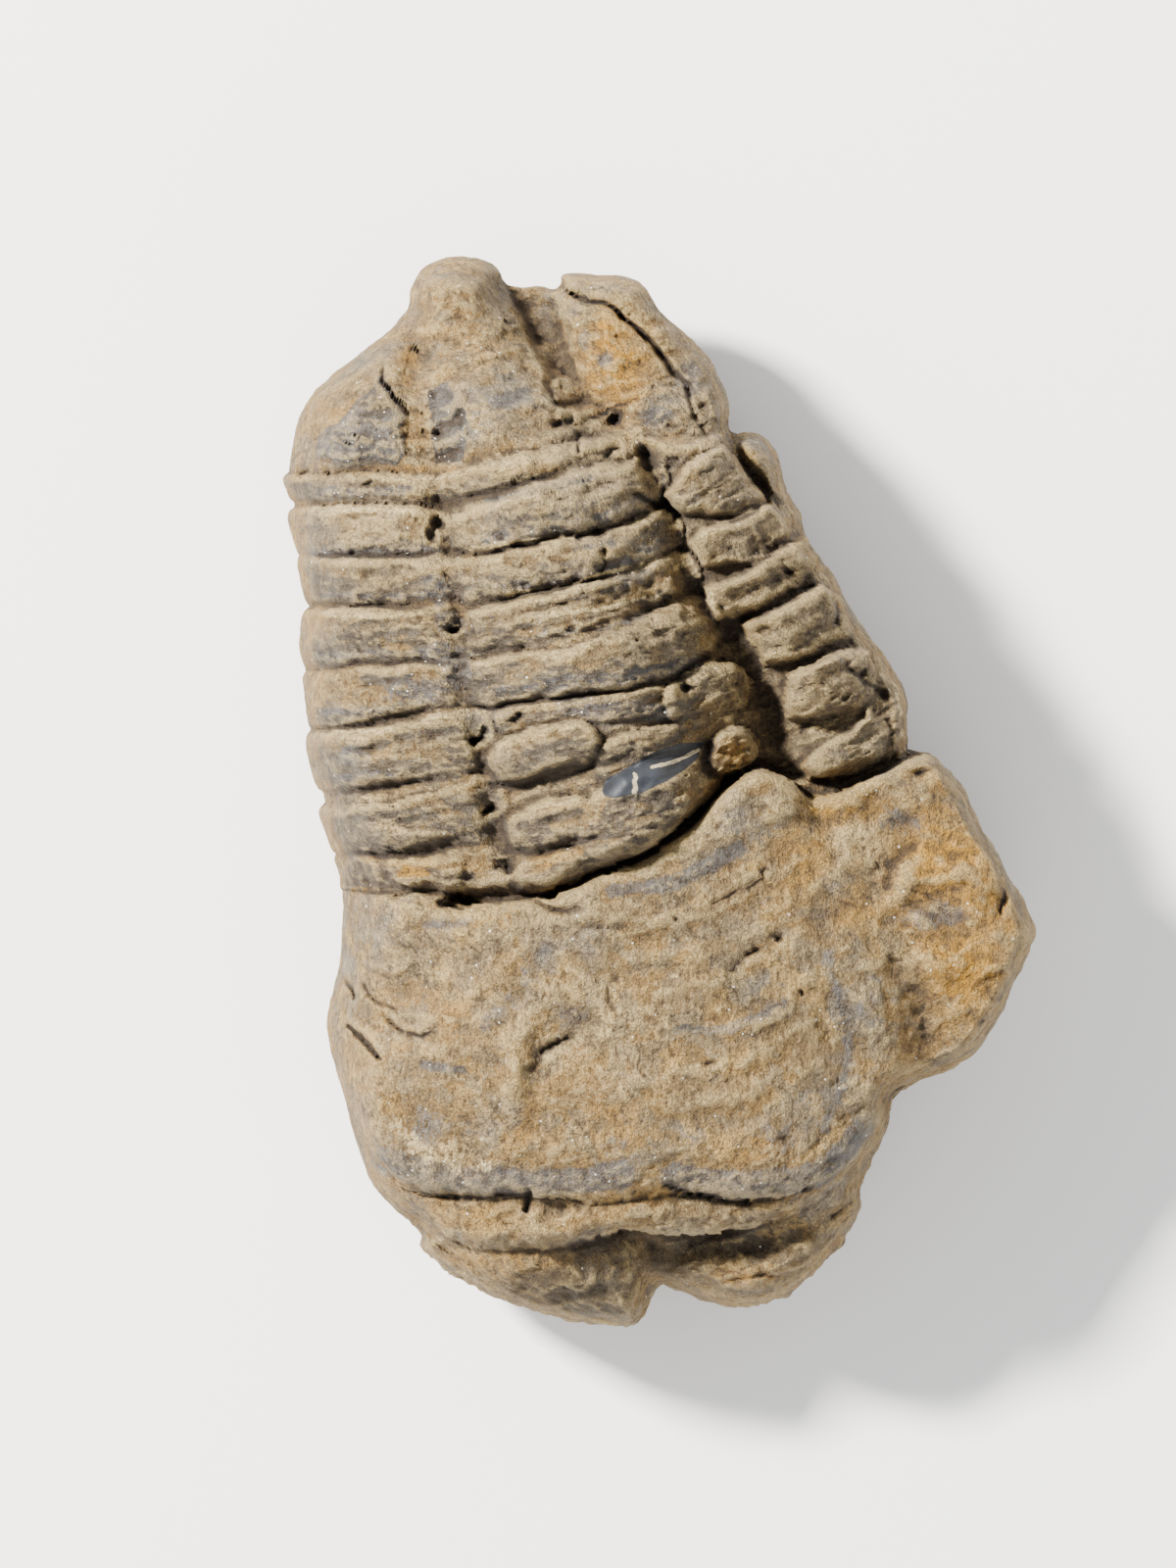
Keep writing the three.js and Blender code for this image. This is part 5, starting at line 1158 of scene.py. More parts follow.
def averaged(values, times):
    """Each point's value replaced by the mean of its neighbours', that many times."""
    neighbours = np.bincount(sides[:, 0], minlength=COUNT)[:, None]
    for _ in range(times):
        values = gather(sides[:, 0], values[sides[:, 1]]) / neighbours
    return values


# %% Grain
ROUGH_PLACES = [                 # x, y, half width, half length, share: where the rock is bare
    [20, -8, 8, 11, 1.2], [14.5, 0, 5, 1.6, 1.2], [-8, -36, 11, 4, 1.2], [8, -35, 8, 4, 1.2],
    [-18, -6, 7, 1.8, 1.2], [-19, -0.4, 6, 1, 0.8], [5.5, 2.8, 2.4, 2, 1.2],
    [-3, -31.5, 14, 1.8, 1.3], [-2.8, 31.8, 4, 5, 0.5], [-16, 28, 1.8, 4, 0.6],
    [0.5, 14, 4, 1.5, 0.6], [7, 8, 2.4, 6, 1], [10, 14, 4, 7, 0.5], [16.4, 9, 1.4, 6, 0.9],
    [12, 18, 1.4, 4, 0.9],
]
BARE_FLANK = 0.7                 # how bare the flank is
BAREST = 1.3                     # and no place is barer than this
GRAIN = [                        # mm high, widest in mm, octaves, seed, how much more where bare
    (0.22, 6.5, 2, 11, 1), (0.1, 2.1, 3, 21, 2), (0.07, 0.9, 2, 41, 1.6),
]
GRAIN_LIFT = 0.06                # mm that makes up for what the creases take away
CREASES = [(0.3, 3.2, 14), (0.14, 1.3, 15)]      # mm deep, mm wide, seed
CREASED = (0.3, 1.3)             # share of them that is there at all, and how much more where bare
GRAIN_FREE = 1.5                 # mm above the base in which the grain fades, so the base stays flat
POLISHED_OFF = 0.85              # share of the grain that the polished patch has lost

bare = np.clip(soft_places(ROUGH_PLACES, points[:, 0], points[:, 1])
               + BARE_FLANK * ease(15, 10, points[:, 2]), 0, BAREST)
normals = averaged(point_normals(points), 4)
normals /= np.linalg.norm(normals, axis=1, keepdims=True)
place_x = np.concatenate([plan[..., 0].ravel(), flank_points[..., 0].ravel()])
place_y = np.concatenate([plan[..., 1].ravel(), flank_points[..., 1].ravel()])
creases = sum(deep * np.abs(lattice_noise(points / wide, seed)) for deep, wide, seed in CREASES)
grain = sum(high * rough_noise(points, wide, octaves, seed) * (1 + more * bare)
            for high, wide, octaves, seed, more in GRAIN)
grain = grain + GRAIN_LIFT - creases * (CREASED[0] + CREASED[1] * bare)
grain *= ease(0, GRAIN_FREE, points[:, 2]) * (1 - POLISHED_OFF * polished(place_x, place_y))
points = points + normals * grain[:, None]
middle = (points.min(0) + points.max(0)) / 2
points[:, :2] -= middle[:2]
print("stone, mm:", np.round(np.ptp(points, axis=0), 1))

# %% Hollows and edges
NEAR_STEPS, FAR_STEPS = 5, 45    # means of neighbours taken, which reach about 0.3 and 1 mm

normals = averaged(point_normals(points), 1)
near_mean = averaged(points, NEAR_STEPS)
far_mean = averaged(near_mean, FAR_STEPS)
# How far a point lies below the mean of its neighbours: the material paints shade where it does, and
# paints raised edges pale
fine_hollow = ((near_mean - points) * normals).sum(1)
wide_hollow = ((far_mean - points) * normals).sum(1)
print("hollow, mm: fine", np.round(np.percentile(fine_hollow, [1, 50, 99]), 3),
      " wide", np.round(np.percentile(wide_hollow, [1, 50, 99]), 3))

# %% [markdown]
# ## Where the colours lie
#
# The rock is a grey-brown siltstone.  Iron has stained it ochre where it is bare and damp has left
# umber stains; painted shade darkens recesses such as those under the lip and between the stumps,
# and some places are paler.  The areas could be painted by hand on an unwrapped mesh, but a list of
# soft ovals in the plan stays readable, and noise can break their borders up.

# %% Stains, painted shade and lighter spots
OCHRE = [                        # x, y, half width, half length, strength
    [-3.2, 32.2, 3.4, 4.2, 1], [-3.9, 33.6, 2.2, 2.4, 1.1], [-18.8, 31.6, 1.4, 2.6, 0.7],
    [-17.4, 37.6, 1.6, 1.6, 0.7], [-13.4, 32.4, 1.6, 1.6, 0.6], [-24, 29, 3, 2, 0.5],
    [5.6, 2.8, 2.4, 1.6, 0.6], [-19, -6.2, 6, 1.5, 0.8], [-20, -0.4, 5, 0.7, 0.35],
    [13.6, -1, 4, 1.8, 0.8], [20, -1.4, 3, 2, 0.7], [21, -6, 5.5, 7.5, 0.85],
    [22.4, -13.4, 4, 4.2, 1], [25.2, -8, 2.4, 4, 0.8], [14.5, -9, 3, 3, 0.6],
    [-11, -35, 8, 1.6, 0.6], [7, -36, 5, 1.6, 0.6], [-21.5, -29, 3, 3, 0.5],
    [-7.6, -5, 2.6, 1.2, 0.8], [10.6, -5, 2.6, 4, 0.6], [0, -29.5, 8, 1.2, 0.5],
    [-10, -25, 2.6, 3, 0.5], [7, -26, 3, 2, 0.5], [-3, -24, 3, 2, 0.5], [6.5, 25.5, 1.4, 3, 0.5],
    [9.5, 25, 1.2, 2.6, 0.9], [-19, 23.9, 7, 0.5, 0.7], [-6, 9, 3, 0.8, 0.5],
    [0, -3.4, 5, 1.2, 0.4], [-14, -17, 3, 4, 0.35], [-14, -31.2, 8, 1.3, 0.4],
    [-14.5, -35, 4, 1, 0.8],
]
UMBER_AND_SHADE = [                        # umber stains, and painted shade in recesses under the lip and between the stumps
    [1.2, 32, 2.4, 2, 1], [7.4, 19.4, 3, 1.4, 1.1], [9.6, 16.4, 2.6, 1.1, 0.7],
    [5, 15.3, 2, 1.2, 0.8], [13.2, 6.8, 2.4, 1.6, 0.6], [9.3, -17.7, 4, 3.4, 1],
    [19.6, -15.6, 2.4, 4, 0.8], [2.5, -31.4, 4, 1, 0.95], [6.4, -39, 4, 1.2, 1.2],
    [-2.4, 6.1, 3, 0.9, 0.9], [-22, -6.3, 3.2, 1, 0.95], [-14.8, 37.8, 2.8, 2, 0.9],
    [12, -10.5, 3, 2.4, 0.7], [7, -3, 3, 2.6, 0.7], [-20.7, 29, 1.6, 1.5, 1.4],
    [-17.6, 20.6, 1.3, 3.6, 0.7], [-15.6, 5, 1.3, 6, 0.6], [-22.5, 15.9, 4, 1.3, 0.8],
    [-22.5, 11.2, 4, 1.4, 0.75], [-21.5, 22.6, 3.6, 0.8, 0.8], [-9.7, 22.4, 3, 0.8, 0.8],
    [7.8, -27.9, 3.4, 1.1, 0.8], [-6.6, -37.6, 5, 2.4, 2.1], [12.2, -35.2, 2, 1.6, 0.6],
    [22, -19.6, 4, 1.6, 0.9], [0.2, -35.4, 1.8, 1.6, 1.1], [17, 7.4, 0.9, 4, 0.8],
    [15, 13, 0.9, 3.4, 0.8], [12.2, 18, 1, 3, 0.8], [21, -9, 2.6, 1.5, 0.7],
    [15.6, -6.6, 1.8, 2.2, 0.5],
]
PALE = [                         # lighter spots
    [-19.9, -0.5, 3.4, 0.7, 0.8], [-21.4, -3, 3.6, 1.2, 1], [-6, -18, 13, 9, 0.6],
    [-8.2, 10.8, 3.4, 1.3, 0.8], [-8.4, 13.8, 3.4, 0.9, 0.7], [15.1, -3.8, 3.4, 2.4, 1],
    [21, -6.4, 3, 2.4, 1], [-16.3, -27.2, 3.4, 1.6, 1.3], [-8.4, -31.2, 5, 1.2, 0.7],
    [-14.1, -34.8, 4, 1.2, 1], [-13.4, 32.3, 1.6, 1.8, 0.9], [-11.2, -22.8, 3, 2.4, 0.6],
    [-3.9, -19.9, 3, 2.6, 0.6], [-5.3, -0.1, 2.4, 1, 0.7], [5.4, 3, 1.8, 1.6, 0.6],
    [-21, 2.6, 3.6, 1, 0.5], [-17.7, -32.2, 3, 1, 0.5], [18.5, -12.4, 2.4, 1.6, 0.8],
]
print("stains:", len(OCHRE), "ochre,", len(UMBER_AND_SHADE), "umber,", len(PALE), "pale")

# %% [markdown]
# ### Shell and calcite
#
# The kept shell is slate grey.  It lies in spots, and in bands that follow the ribs and the front
# of the head.  Thin films of calcite beside it are cream, and so are the two scratches across the
# polished patch.

# %% Shell, calcite and scratches
SLATE = [                        # where shell is kept, in spots
    [-11, 29.2, 1.7, 1.1, 0.8], [-15.2, 9, 1.2, 2, 0.8], [-15.8, 12.6, 1.3, 1, 0.8],
    [2, 30.9, 1.1, 1.4, 0.9], [-0.4, 27.8, 1.4, 0.8, 1.1], [-16.6, 15, 1, 1.2, 0.9],
    [-16.5, 10.1, 1.6, 0.9, 0.9], [-17.7, 7.5, 3, 1.1, 0.8], [-5.6, 33.6, 0.7, 1.1, 0.6],
    [-4.3, 32.1, 0.8, 0.8, 0.8], [-6.8, -16.6, 1.8, 1.4, 0.5], [15.5, -16.2, 3, 3.8, 0.4],
    [20.6, -9.2, 3.2, 1.6, 0.55], [17.6, -2.2, 2.8, 1.5, 0.45], [-17.5, -24.8, 3.4, 2.4, 0.45],
    [-2, -26.4, 4, 1.6, 0.4], [9, -25.6, 3, 2.4, 0.4], [-22.8, 2.6, 1.5, 1, 0.7],
    [-23.8, -4, 1.5, 0.9, 0.7], [-5, 18.3, 3, 0.8, 0.5], [-2.2, 15.8, 2, 0.8, 0.6],
    [13.5, 10, 1.4, 1, 0.4],
]
SLATE_BANDS = [
    ([[-25.7, 17.9], [-21, 17.7], [-16.6, 17.9]], 0.55, 0.9),
    ([[-8.4, 8.1], [-4, 8.2], [2.5, 9.6]], 0.9, 0.8), ([[-7.2, 6.4], [-3, 6.1], [0.1, 5.7]], 1.1, 0.95),
    ([[-21, -27.3], [-15, -28.6], [-8.2, -28.9], [-3, -28.4]], 1.8, 0.9),
    ([[1, -28.6], [7, -29.2], [12.4, -28], [15, -25]], 1.8, 0.9),
    ([[-25.4, 22.3], [-22, 22.2], [-18.6, 22.4]], 0.5, 0.9),
    ([[-13, 21.5], [-9, 22.3], [-5, 23.3]], 0.5, 0.8),
    ([[-3.5, -7.4], [1, -6.6], [5.8, -4.2]], 1.1, 0.7),
    ([[-9.4, 11.6], [-4, 12.2], [0, 13.8]], 0.5, 0.5),
    ([[1, -17.5], [5, -17.5], [9.1, -15.6]], 0.7, 0.7), ([[-17.6, -20.3], [-14.6, -20.6]], 0.6, 0.8),
    ([[-13, -17.6], [-10.6, -14.5], [-8.5, -11.5]], 1.6, 0.4),
    ([[12.2, -12], [14, -19], [12, -25]], 1.2, 0.5), ([[-17.5, -9.8], [-14, -9.6]], 1, 0.5),
    ([[-13, 18.6], [-8, 19.4], [-3, 20.8], [-1, 21.8]], 0.8, 0.65),
    ([[-12, 15], [-7, 15.8], [-3, 16.8], [0, 18.4]], 0.7, 0.6), ([[-12.6, 7.4], [-8, 7.8]], 0.6, 0.6),
    ([[-26, 14.6], [-20, 14.5], [-17, 14.6]], 0.5, 0.6), ([[-26, 10], [-20, 10.2]], 0.7, 0.55),
    ([[-25.6, 5.9], [-20, 6.1]], 0.6, 0.6), ([[-25, 1], [-20, 1.3]], 0.6, 0.6),
]
CREAM_BANDS = [
    ([[-19.6, -24.5], [-17.4, -27], [-13, -28]], 1.6, 0.45),
    ([[-24.4, 20.9], [-21, 20.8], [-18.5, 20.7]], 0.3, 0.9),
    ([[-14, 17.9], [-8, 18.7], [-4, 19.4], [-1.2, 19.9]], 0.45, 0.9),
    ([[-11.2, 14.6], [-7, 15.1], [-4.5, 15.9], [-0.6, 16.9]], 0.5, 0.9),
    ([[-13, 22.1], [-9, 23.4]], 0.3, 0.7), ([[17.7, 7.9], [18, 5.6], [18, 3.5]], 0.6, 0.8),
    ([[3.4, 14.8], [3.7, 13.6]], 0.5, 1), ([[2.4, 18.2], [3, 17.1]], 0.5, 0.7),
    ([[-9, 13], [-4, 13.6], [-1, 14.4]], 0.4, 0.6), ([[-24.6, 13], [-20, 12.9]], 0.3, 0.6),
    ([[-24, 4.4], [-20, 4.6]], 0.3, 0.6), ([[1, 16.5], [2.2, 17.1]], 0.4, 0.8),
]
SCRATCHES = [
    ([[-1.95, 1.3], [-1.95, -0.2]], 0.22, 1), ([[-0.8, 1.8], [0.9, 2.2], [2.8, 3.1]], 0.2, 0.9),
]
print("slate:", len(SLATE) + len(SLATE_BANDS), " cream:", len(CREAM_BANDS))

# %% [markdown]
# ### From lists to attributes
#
# Each area becomes one number per point of the mesh, which the material reads by name.  Some follow
# from the form alone: the side of a rib that turns to the head, away from the main light, gets
# painted shade, the side that turns to the tail gets a painted highlight, and a darker tone with
# painted shade lies on the trunk and below the lip.  They all fade where the back turns down at the
# rim, because an oval in the plan would be drawn out into a streak on a wall.

# %% Areas as numbers at the points
TURNED_DOWN = (0.08, 0.4)        # upward part of the normal between which an area fades in
FLANK_TOP = (12, 17)             # mm above the floor between which it does too
LAID = (0.35, 1.5)               # scales of the streaks along and across the ribs
WOBBLE = 0.35                    # mm that noise 1.6 mm wide pushes the borders of areas about

px, py = place_x, place_y
wobble = WOBBLE * rough_noise(points, 1.6, 3, 91)
wx, wy = px + wobble, py + wobble[::-1]
upward = averaged(normals[:, 2:], 3)[:, 0]
tailward = averaged(normals[:, 1:2], 3)[:, 0]
facing = ease(*FLANK_TOP, points[:, 2]) * ease(*TURNED_DOWN, upward)
on_trunk = ease(-1, 1, depth_inside(TRUNK_EDGE, px, py))
on_ribs = on_trunk * ease(27, 24, py) * facing
plates_of_shell = [ease(-0.1, 0.2, depth_inside(ring, wx, wy)) for ring in (SLATE_PLATE, CRYSTALS)]
lines = [along(groove, s, *drifted(px, py)) for s in GROOVE_CRACKS + CRACKS]
# The trunk is painted darker: a darker tone over all of it, with painted shade that grows towards its
# right side, away from the main light, and a little less on its tail.
trunk_tone_and_shade = on_trunk * (1 + 0.3 * ease(2, 6, px) - 0.15 * ease(24, 27, py))
areas = {
    "ochre": soft_places(OCHRE, wx, wy) * facing,
    "slate": highest([soft_places(SLATE, wx, wy), *plates_of_shell,
                      *(along(swell, s, wx, wy) for s in SLATE_BANDS)]) * facing,
    "cream": highest(along(swell, s, px, py) for s in CREAM_BANDS) * facing,
    # umber stains, and painted shade in recesses
    "umber_and_shade": soft_places(UMBER_AND_SHADE, wx, wy) * facing,
    "pale": soft_places(PALE, wx, wy) * facing,
    "polished": polished(px, py) * facing,
    "scratch": highest(along(swell, s, px, py) for s in SCRATCHES) * facing,
    # dirt and painted shade in cracks and pits
    "dirt_and_shade": np.clip(highest([*lines, holes(px, py)]), 0, 1) * facing,
    # a darker tone over the trunk, with painted shade towards its right side and below the lip
    "dark_tone_and_shade": np.maximum(trunk_tone_and_shade, 1.1 * ease(-31, -34, py)) * facing,
    # painted shade on the sides of the ribs that turn to the head, away from the main light
    "head_side_shade": ease(0, 0.3, -tailward) * on_ribs * ease(4, 1, px),
    # painted highlight on the sides of the ribs that turn to the tail, towards the main light
    "tail_side_highlight": ease(0.2, 0.5, tailward) * on_ribs,
    "shell": broken_shell(px, py) * facing,
    "fine_hollow": fine_hollow,
    "wide_hollow": wide_hollow,
}
streak_places = np.where(
    on_trunk[:, None] > 0.5,
    np.stack([LAID[0] * px, LAID[1] * rib_rows(px, py), points[:, 2]], -1),
    np.stack([px, py, points[:, 2]], -1))
for name, values in areas.items():
    print(f"{name}: mean {values.mean():.3f}")

# %% [markdown]
# ## The mesh
#
# `from_pydata` takes points and faces as plain lists, `foreach_set` fills an attribute in one go.
# The last face is the flat base: it alone isn't shaded smooth, or it would look like a cushion.

# %% The mesh
mesh = bpy.data.meshes.new("trilobite_stone")
mesh.from_pydata((points * MM).tolist(), [], faces)
mesh.polygons.foreach_set("use_smooth", np.arange(len(faces)) < len(faces) - 1)
for name, values in areas.items():
    mesh.attributes.new(name, "FLOAT", "POINT").data.foreach_set("value", values.astype(np.float32))
mesh.attributes.new("laid", "FLOAT_VECTOR", "POINT").data.foreach_set(
    "vector", streak_places.astype(np.float32).ravel())
mesh.update()
stone = bpy.data.objects.new("trilobite_stone", mesh)
bpy.context.scene.collection.objects.link(stone)
print("faces:", len(mesh.polygons), " valid:", not mesh.validate())

# %% [markdown]
# ## The stone's material
#
# Siltstone with lime, broken by weather: fine grains of quartz, clay and calcite under a skin of
# brown dust.  It has no gloss; only the polished patch of shell shines, and here and there a fresh
# crystal face glints, with the glint painted into the colour as well.
#
# One noise with a colour ramp would look like a sponge.  The tree is built up like paint instead.
# First come noises, each with the size of a real spot in mm.  Then a list of coats is laid one on
# the other: each is a pattern or an area of the mesh, turned to a share between two levels, and two
# colours that a finer noise mixes.  A second list goes over all of them: gaps between grains and
# fissures, painted shade in hollows, pale raised edges that are wear and painted highlight, dirt and
# painted shade in cracks and pits, the polished patch and its scratches.

# %% Node helpers
def linear(code):
    """An sRGB hex colour as linear RGBA: a part v becomes ((v + 0.055) / 1.055) ^ 2.4, and v / 12.92
    where v is below 0.04."""
    parts = [int(code[i:i + 2], 16) / 255 for i in (1, 3, 5)]
    return [v / 12.92 if v < 0.04045 else ((v + 0.055) / 1.055) ** 2.4 for v in parts] + [1.0]


def add_node(tree, kind, inputs, output=0, **settings):
    """Adds a node: its settings by name, then its inputs by socket name or number, each a value or
    another node's output.  Gives back the output asked for."""
    node = tree.nodes.new(kind)
    for name, value in settings.items():
        setattr(node, name, value)
    for socket, value in inputs.items():
        if isinstance(value, bpy.types.NodeSocket):
            tree.links.new(value, node.inputs[socket])
        else:
            node.inputs[socket].default_value = value
    return node.outputs[output] if output is not None else node


print("linear value of a middle grey:", round(linear("#808080")[0], 3))

# %% [markdown]
# ### Noises
#
# There are seven.  Two are read at the places that follow the ribs, the others in Object
# coordinates.  One coordinate for all would be simpler, but the rock lies in layers: for the grit
# the places are squeezed along the body, which draws its grains out into short hatching.  The
# fissures are the thin lines where a noise passes its middle value.

# %% Noises of the siltstone
siltstone = bpy.data.materials.new("siltstone_with_shell")
siltstone.use_nodes = True
tree = siltstone.node_tree
tree.nodes.clear()
in_metres = add_node(tree, "ShaderNodeTexCoord", {}, "Object")
in_mm = add_node(tree, "ShaderNodeMapping", {"Vector": in_metres, "Scale": (1000, 1000, 1000)})
hatched_mm = add_node(tree, "ShaderNodeMapping", {"Vector": in_metres, "Scale": (1000, 450, 1000)})
laid_mm = add_node(tree, "ShaderNodeAttribute", {}, "Vector", attribute_name="laid")
NOISES = {                       # where it is read, widest spot in mm, octaves, roughness
    "cloud": (in_mm, 8, 4, 0.6),
    "mottle": (in_mm, 3.4, 7, 0.64),
    "blotch": (in_mm, 1.5, 6, 0.68),
    "streak": (laid_mm, 2.6, 7, 0.66),
    "fissure": (laid_mm, 4, 5, 0.55),
    "grit": (hatched_mm, 0.42, 4, 0.7),
    "dust": (in_mm, 0.17, 2, 0.6),
}
pattern = {}
for name, (place, size, octaves, roughness) in NOISES.items():
    pattern[name] = add_node(tree, "ShaderNodeTexNoise", {
        "Vector": place, "Scale": 1 / size, "Detail": octaves, "Roughness": roughness})
for name in areas:
    pattern[name] = add_node(tree, "ShaderNodeAttribute", {}, "Fac", attribute_name=name)
thin_line = add_node(tree, "ShaderNodeMath", {0: pattern["fissure"], 1: 0.5, 2: 0.012},
                     operation="COMPARE")         # 1 where the noise is within 0.012 of its middle
pattern["fissure"] = add_node(tree, "ShaderNodeMath", {0: thin_line, 1: pattern["mottle"]},
                              operation="MULTIPLY")
ragged = add_node(tree, "ShaderNodeMath", {0: pattern["blotch"], 1: pattern["grit"]},
                  operation="ADD")
print("noises:", len(NOISES), " areas:", len(areas))

# %% [markdown]
# ### Coats
#
# From the ground up: clouds of brown and grey, streaks along the ribs, kept shell, pale grains, and
# then the other areas, from the darker trunk tone with its painted shade, through the painted
# highlight and shade on the sides of the ribs, to calcite.  The more ragged a coat is, the more its
# border follows the noises and the less it follows the drawn oval.

# %% Coats of colour
COATS = [  # pattern, how ragged, from level, to level, strength, dark colour, light colour, mixed by
    ("cloud", 0.1, 0.5, 0.66, 1.0, "#74582c", "#a17f44", "mottle"),
    ("mottle", 0.1, 0.6, 0.64, 0.65, "#5c5240", "#80735a", "blotch"),
    ("cloud", 0.1, 0.54, 0.43, 0.68, "#605d55", "#8f897d", "blotch"),
    ("streak", 0.04, 0.585, 0.61, 0.65, "#8a6c38", "#b89655", "grit"),
    ("streak", 0.04, 0.47, 0.445, 0.6, "#494032", "#6b624f", "blotch"),
    ("shell", 0.6, 0.9, 1.3, 0.3, "#5a5040", "#7d705a", "blotch"),
    ("grit", 0, 0.57, 0.66, 0.45, "#a38a5c", "#cbb382", "dust"),
    ("dust", 0, 0.57, 0.72, 0.4, "#b09666", "#d3bc8a", "grit"),
    # a darker tone over the trunk, with painted shade towards its right side and below the lip
    ("dark_tone_and_shade", 0.9, 1.65, 2.1, 0.6, "#3b3427", "#6a604b", "mottle"),
    # painted highlight on the sides of the ribs that turn to the tail, towards the main light
    ("tail_side_highlight", 0.9, 1.1, 1.5, 0.45, "#a08758", "#d2bb8c", "streak"),
    ("pale", 0.7, 1.1, 1.7, 0.75, "#a98c58", "#d8bd8a", "blotch"),
    ("ochre", 0.9, 1.05, 1.9, 0.95, "#72500a", "#b28012", "blotch"),
    # painted shade on the sides of the ribs that turn to the head, away from the main light
    ("head_side_shade", 0.9, 0.95, 1.4, 0.8, "#2f2d2a", "#5c554b", "blotch"),
    ("slate", 0.9, 1.15, 1.42, 0.85, "#2a2a2f", "#696663", "blotch"),
    # umber stains, and painted shade in recesses
    ("umber_and_shade", 0.7, 1.0, 2.0, 0.75, "#2c2214", "#483a25", "blotch"),
    ("cream", 0.8, 1.15, 1.3, 0.85, "#9f8855", "#d6c08f", "grit"),
]
HOLLOWS = [  # pattern, how ragged, from level, to level, strength, dark colour, light colour, mixed by
    ("grit", 0, 0.46, 0.36, 0.72, "#33240e", "#503b1e", "dust"),
    ("dust", 0, 0.46, 0.32, 0.7, "#3a2a12", "#55401f", "grit"),
    ("fissure", 0, 0.5, 0.55, 0.6, "#2b1c0a", "#3f2d16", "dust"),
    # painted shade in wide hollows
    ("wide_hollow", 0.2, 0.15, 1.1, 0.5, "#30261c", "#4d4030", "grit"),
    # painted shade and dirt in fine hollows
    ("fine_hollow", 0.06, 0.09, 0.26, 0.75, "#281c10", "#41321f", "grit"),
    # pale raised edges: wear and a painted highlight
    ("fine_hollow", -0.2, -0.19, -0.36, 0.4, "#a98f5a", "#cfb882", "dust"),
    # dirt and painted shade in cracks and pits
    ("dirt_and_shade", 0.3, 0.7, 1.0, 0.8, "#1f160c", "#362817", "grit"),
    ("polished", 0.1, 0.42, 0.52, 1.0, "#13161b", "#292d34", "mottle"),
    ("scratch", 0.5, 0.75, 0.95, 0.85, "#9c8c6c", "#cdbf9f", "grit"),
]
print("coats:", len(COATS), " over them:", len(HOLLOWS))

# %% Coats laid on the ground colour
MIXED = (0.35, 0.65)             # value of the finer noise over which dark turns to light

colour = linear("#735c36")
for name, border, low, high, strength, dark, light, mixer in COATS + HOLLOWS:
    level = add_node(tree, "ShaderNodeMath", {0: ragged, 1: border, 2: pattern[name]},
                     operation="MULTIPLY_ADD")
    share = add_node(tree, "ShaderNodeMapRange", {
        "Value": level, "From Min": low, "From Max": high, "To Max": strength},
        interpolation_type="SMOOTHSTEP")
    spots = add_node(tree, "ShaderNodeMapRange", {
        "Value": pattern[mixer], "From Min": MIXED[0], "From Max": MIXED[1]})
    coat = add_node(tree, "ShaderNodeMix", {0: spots, 6: linear(dark), 7: linear(light)}, 2,
                    data_type="RGBA")
    colour = add_node(tree, "ShaderNodeMix", {0: share, 6: colour, 7: coat}, 2, data_type="RGBA")
print("nodes with all coats on:", len(tree.nodes))

# %% [markdown]
# ### Glints
#
# Broken calcite shows bright flat faces.  A Voronoi pattern of cells the size of such a crystal
# gives each cell a random colour, and only cells where its red is almost 1 get a glint: a painted
# highlight of near-white in the colour, and a lower roughness.  On the shell the limit is lower, so
# there are several times as many.

# %% Glints
CRYSTAL = 0.34                   # mm, width of a crystal face
RARITY = (0.99, 0.993)           # random value between which a cell begins to glint
MORE_ON_SHELL = 0.05             # how much is added to that value on the shell
FACE = (0.3, 0.2)                # distance from a cell's middle, in cells, where a glint ends and is full

cells = {"Vector": in_mm, "Scale": 1 / CRYSTAL}
chance = add_node(tree, "ShaderNodeSeparateColor", {
    "Color": add_node(tree, "ShaderNodeTexVoronoi", cells, "Color")})
chance = add_node(tree, "ShaderNodeMath", {0: pattern["slate"], 1: MORE_ON_SHELL, 2: chance},
                  operation="MULTIPLY_ADD")
chosen = add_node(tree, "ShaderNodeMapRange", {
    "Value": chance, "From Min": RARITY[0], "From Max": RARITY[1]})
spot = add_node(tree, "ShaderNodeMapRange", {
    "Value": add_node(tree, "ShaderNodeTexVoronoi", cells, "Distance"),
    "From Min": FACE[0], "From Max": FACE[1]})
glint = add_node(tree, "ShaderNodeMath", {0: chosen, 1: spot}, operation="MULTIPLY")
# painted highlight: the glint's near-white mixed into the colour
colour = add_node(tree, "ShaderNodeMix", {0: glint, 6: colour, 7: linear("#e8e2d2")}, 2,
                  data_type="RGBA")
print("crystals of", CRYSTAL, "mm, about one in", round(1 / (1 - RARITY[0])), "glints")

# %% [markdown]
# ### Bump and gloss
#
# What is finer than the mesh is a bump: the same noises as the colours, so that a dark gap is also
# a low one, and thin steps where streaks and blotches pass a level, like layers that broke off.
# Stone of quartz and calcite has an IOR of about 1.5 and is dull; the polished patch has lost most
# of its bump and shines a little.

# %% Bump, gloss and surface
BUMPS = [("mottle", 0.45), ("streak", 0.5), ("blotch", 0.6), ("grit", 0.65), ("dust", 0.22),
         ("fissure", -0.3)]      # pattern, mm high
STEPS = [("streak", 0.46, 0.14), ("streak", 0.52, 0.12), ("streak", 0.59, 0.14),
         ("blotch", 0.42, 0.1), ("blotch", 0.6, 0.1)]    # pattern, level, mm high
STEP_EDGE = 0.008                # how far to either side of its level a step reaches
POLISHED_FROM, POLISHED_TO = 0.3, 0.6    # value of that area between which polish takes hold
POLISHED_BUMP = 0.15             # share of the bump that it keeps
DULL, POLISHED_DULL = 0.88, 0.6  # roughness of the rock and of the polished patch
GLINT_GLOSS = -0.5               # what a glint adds to the roughness

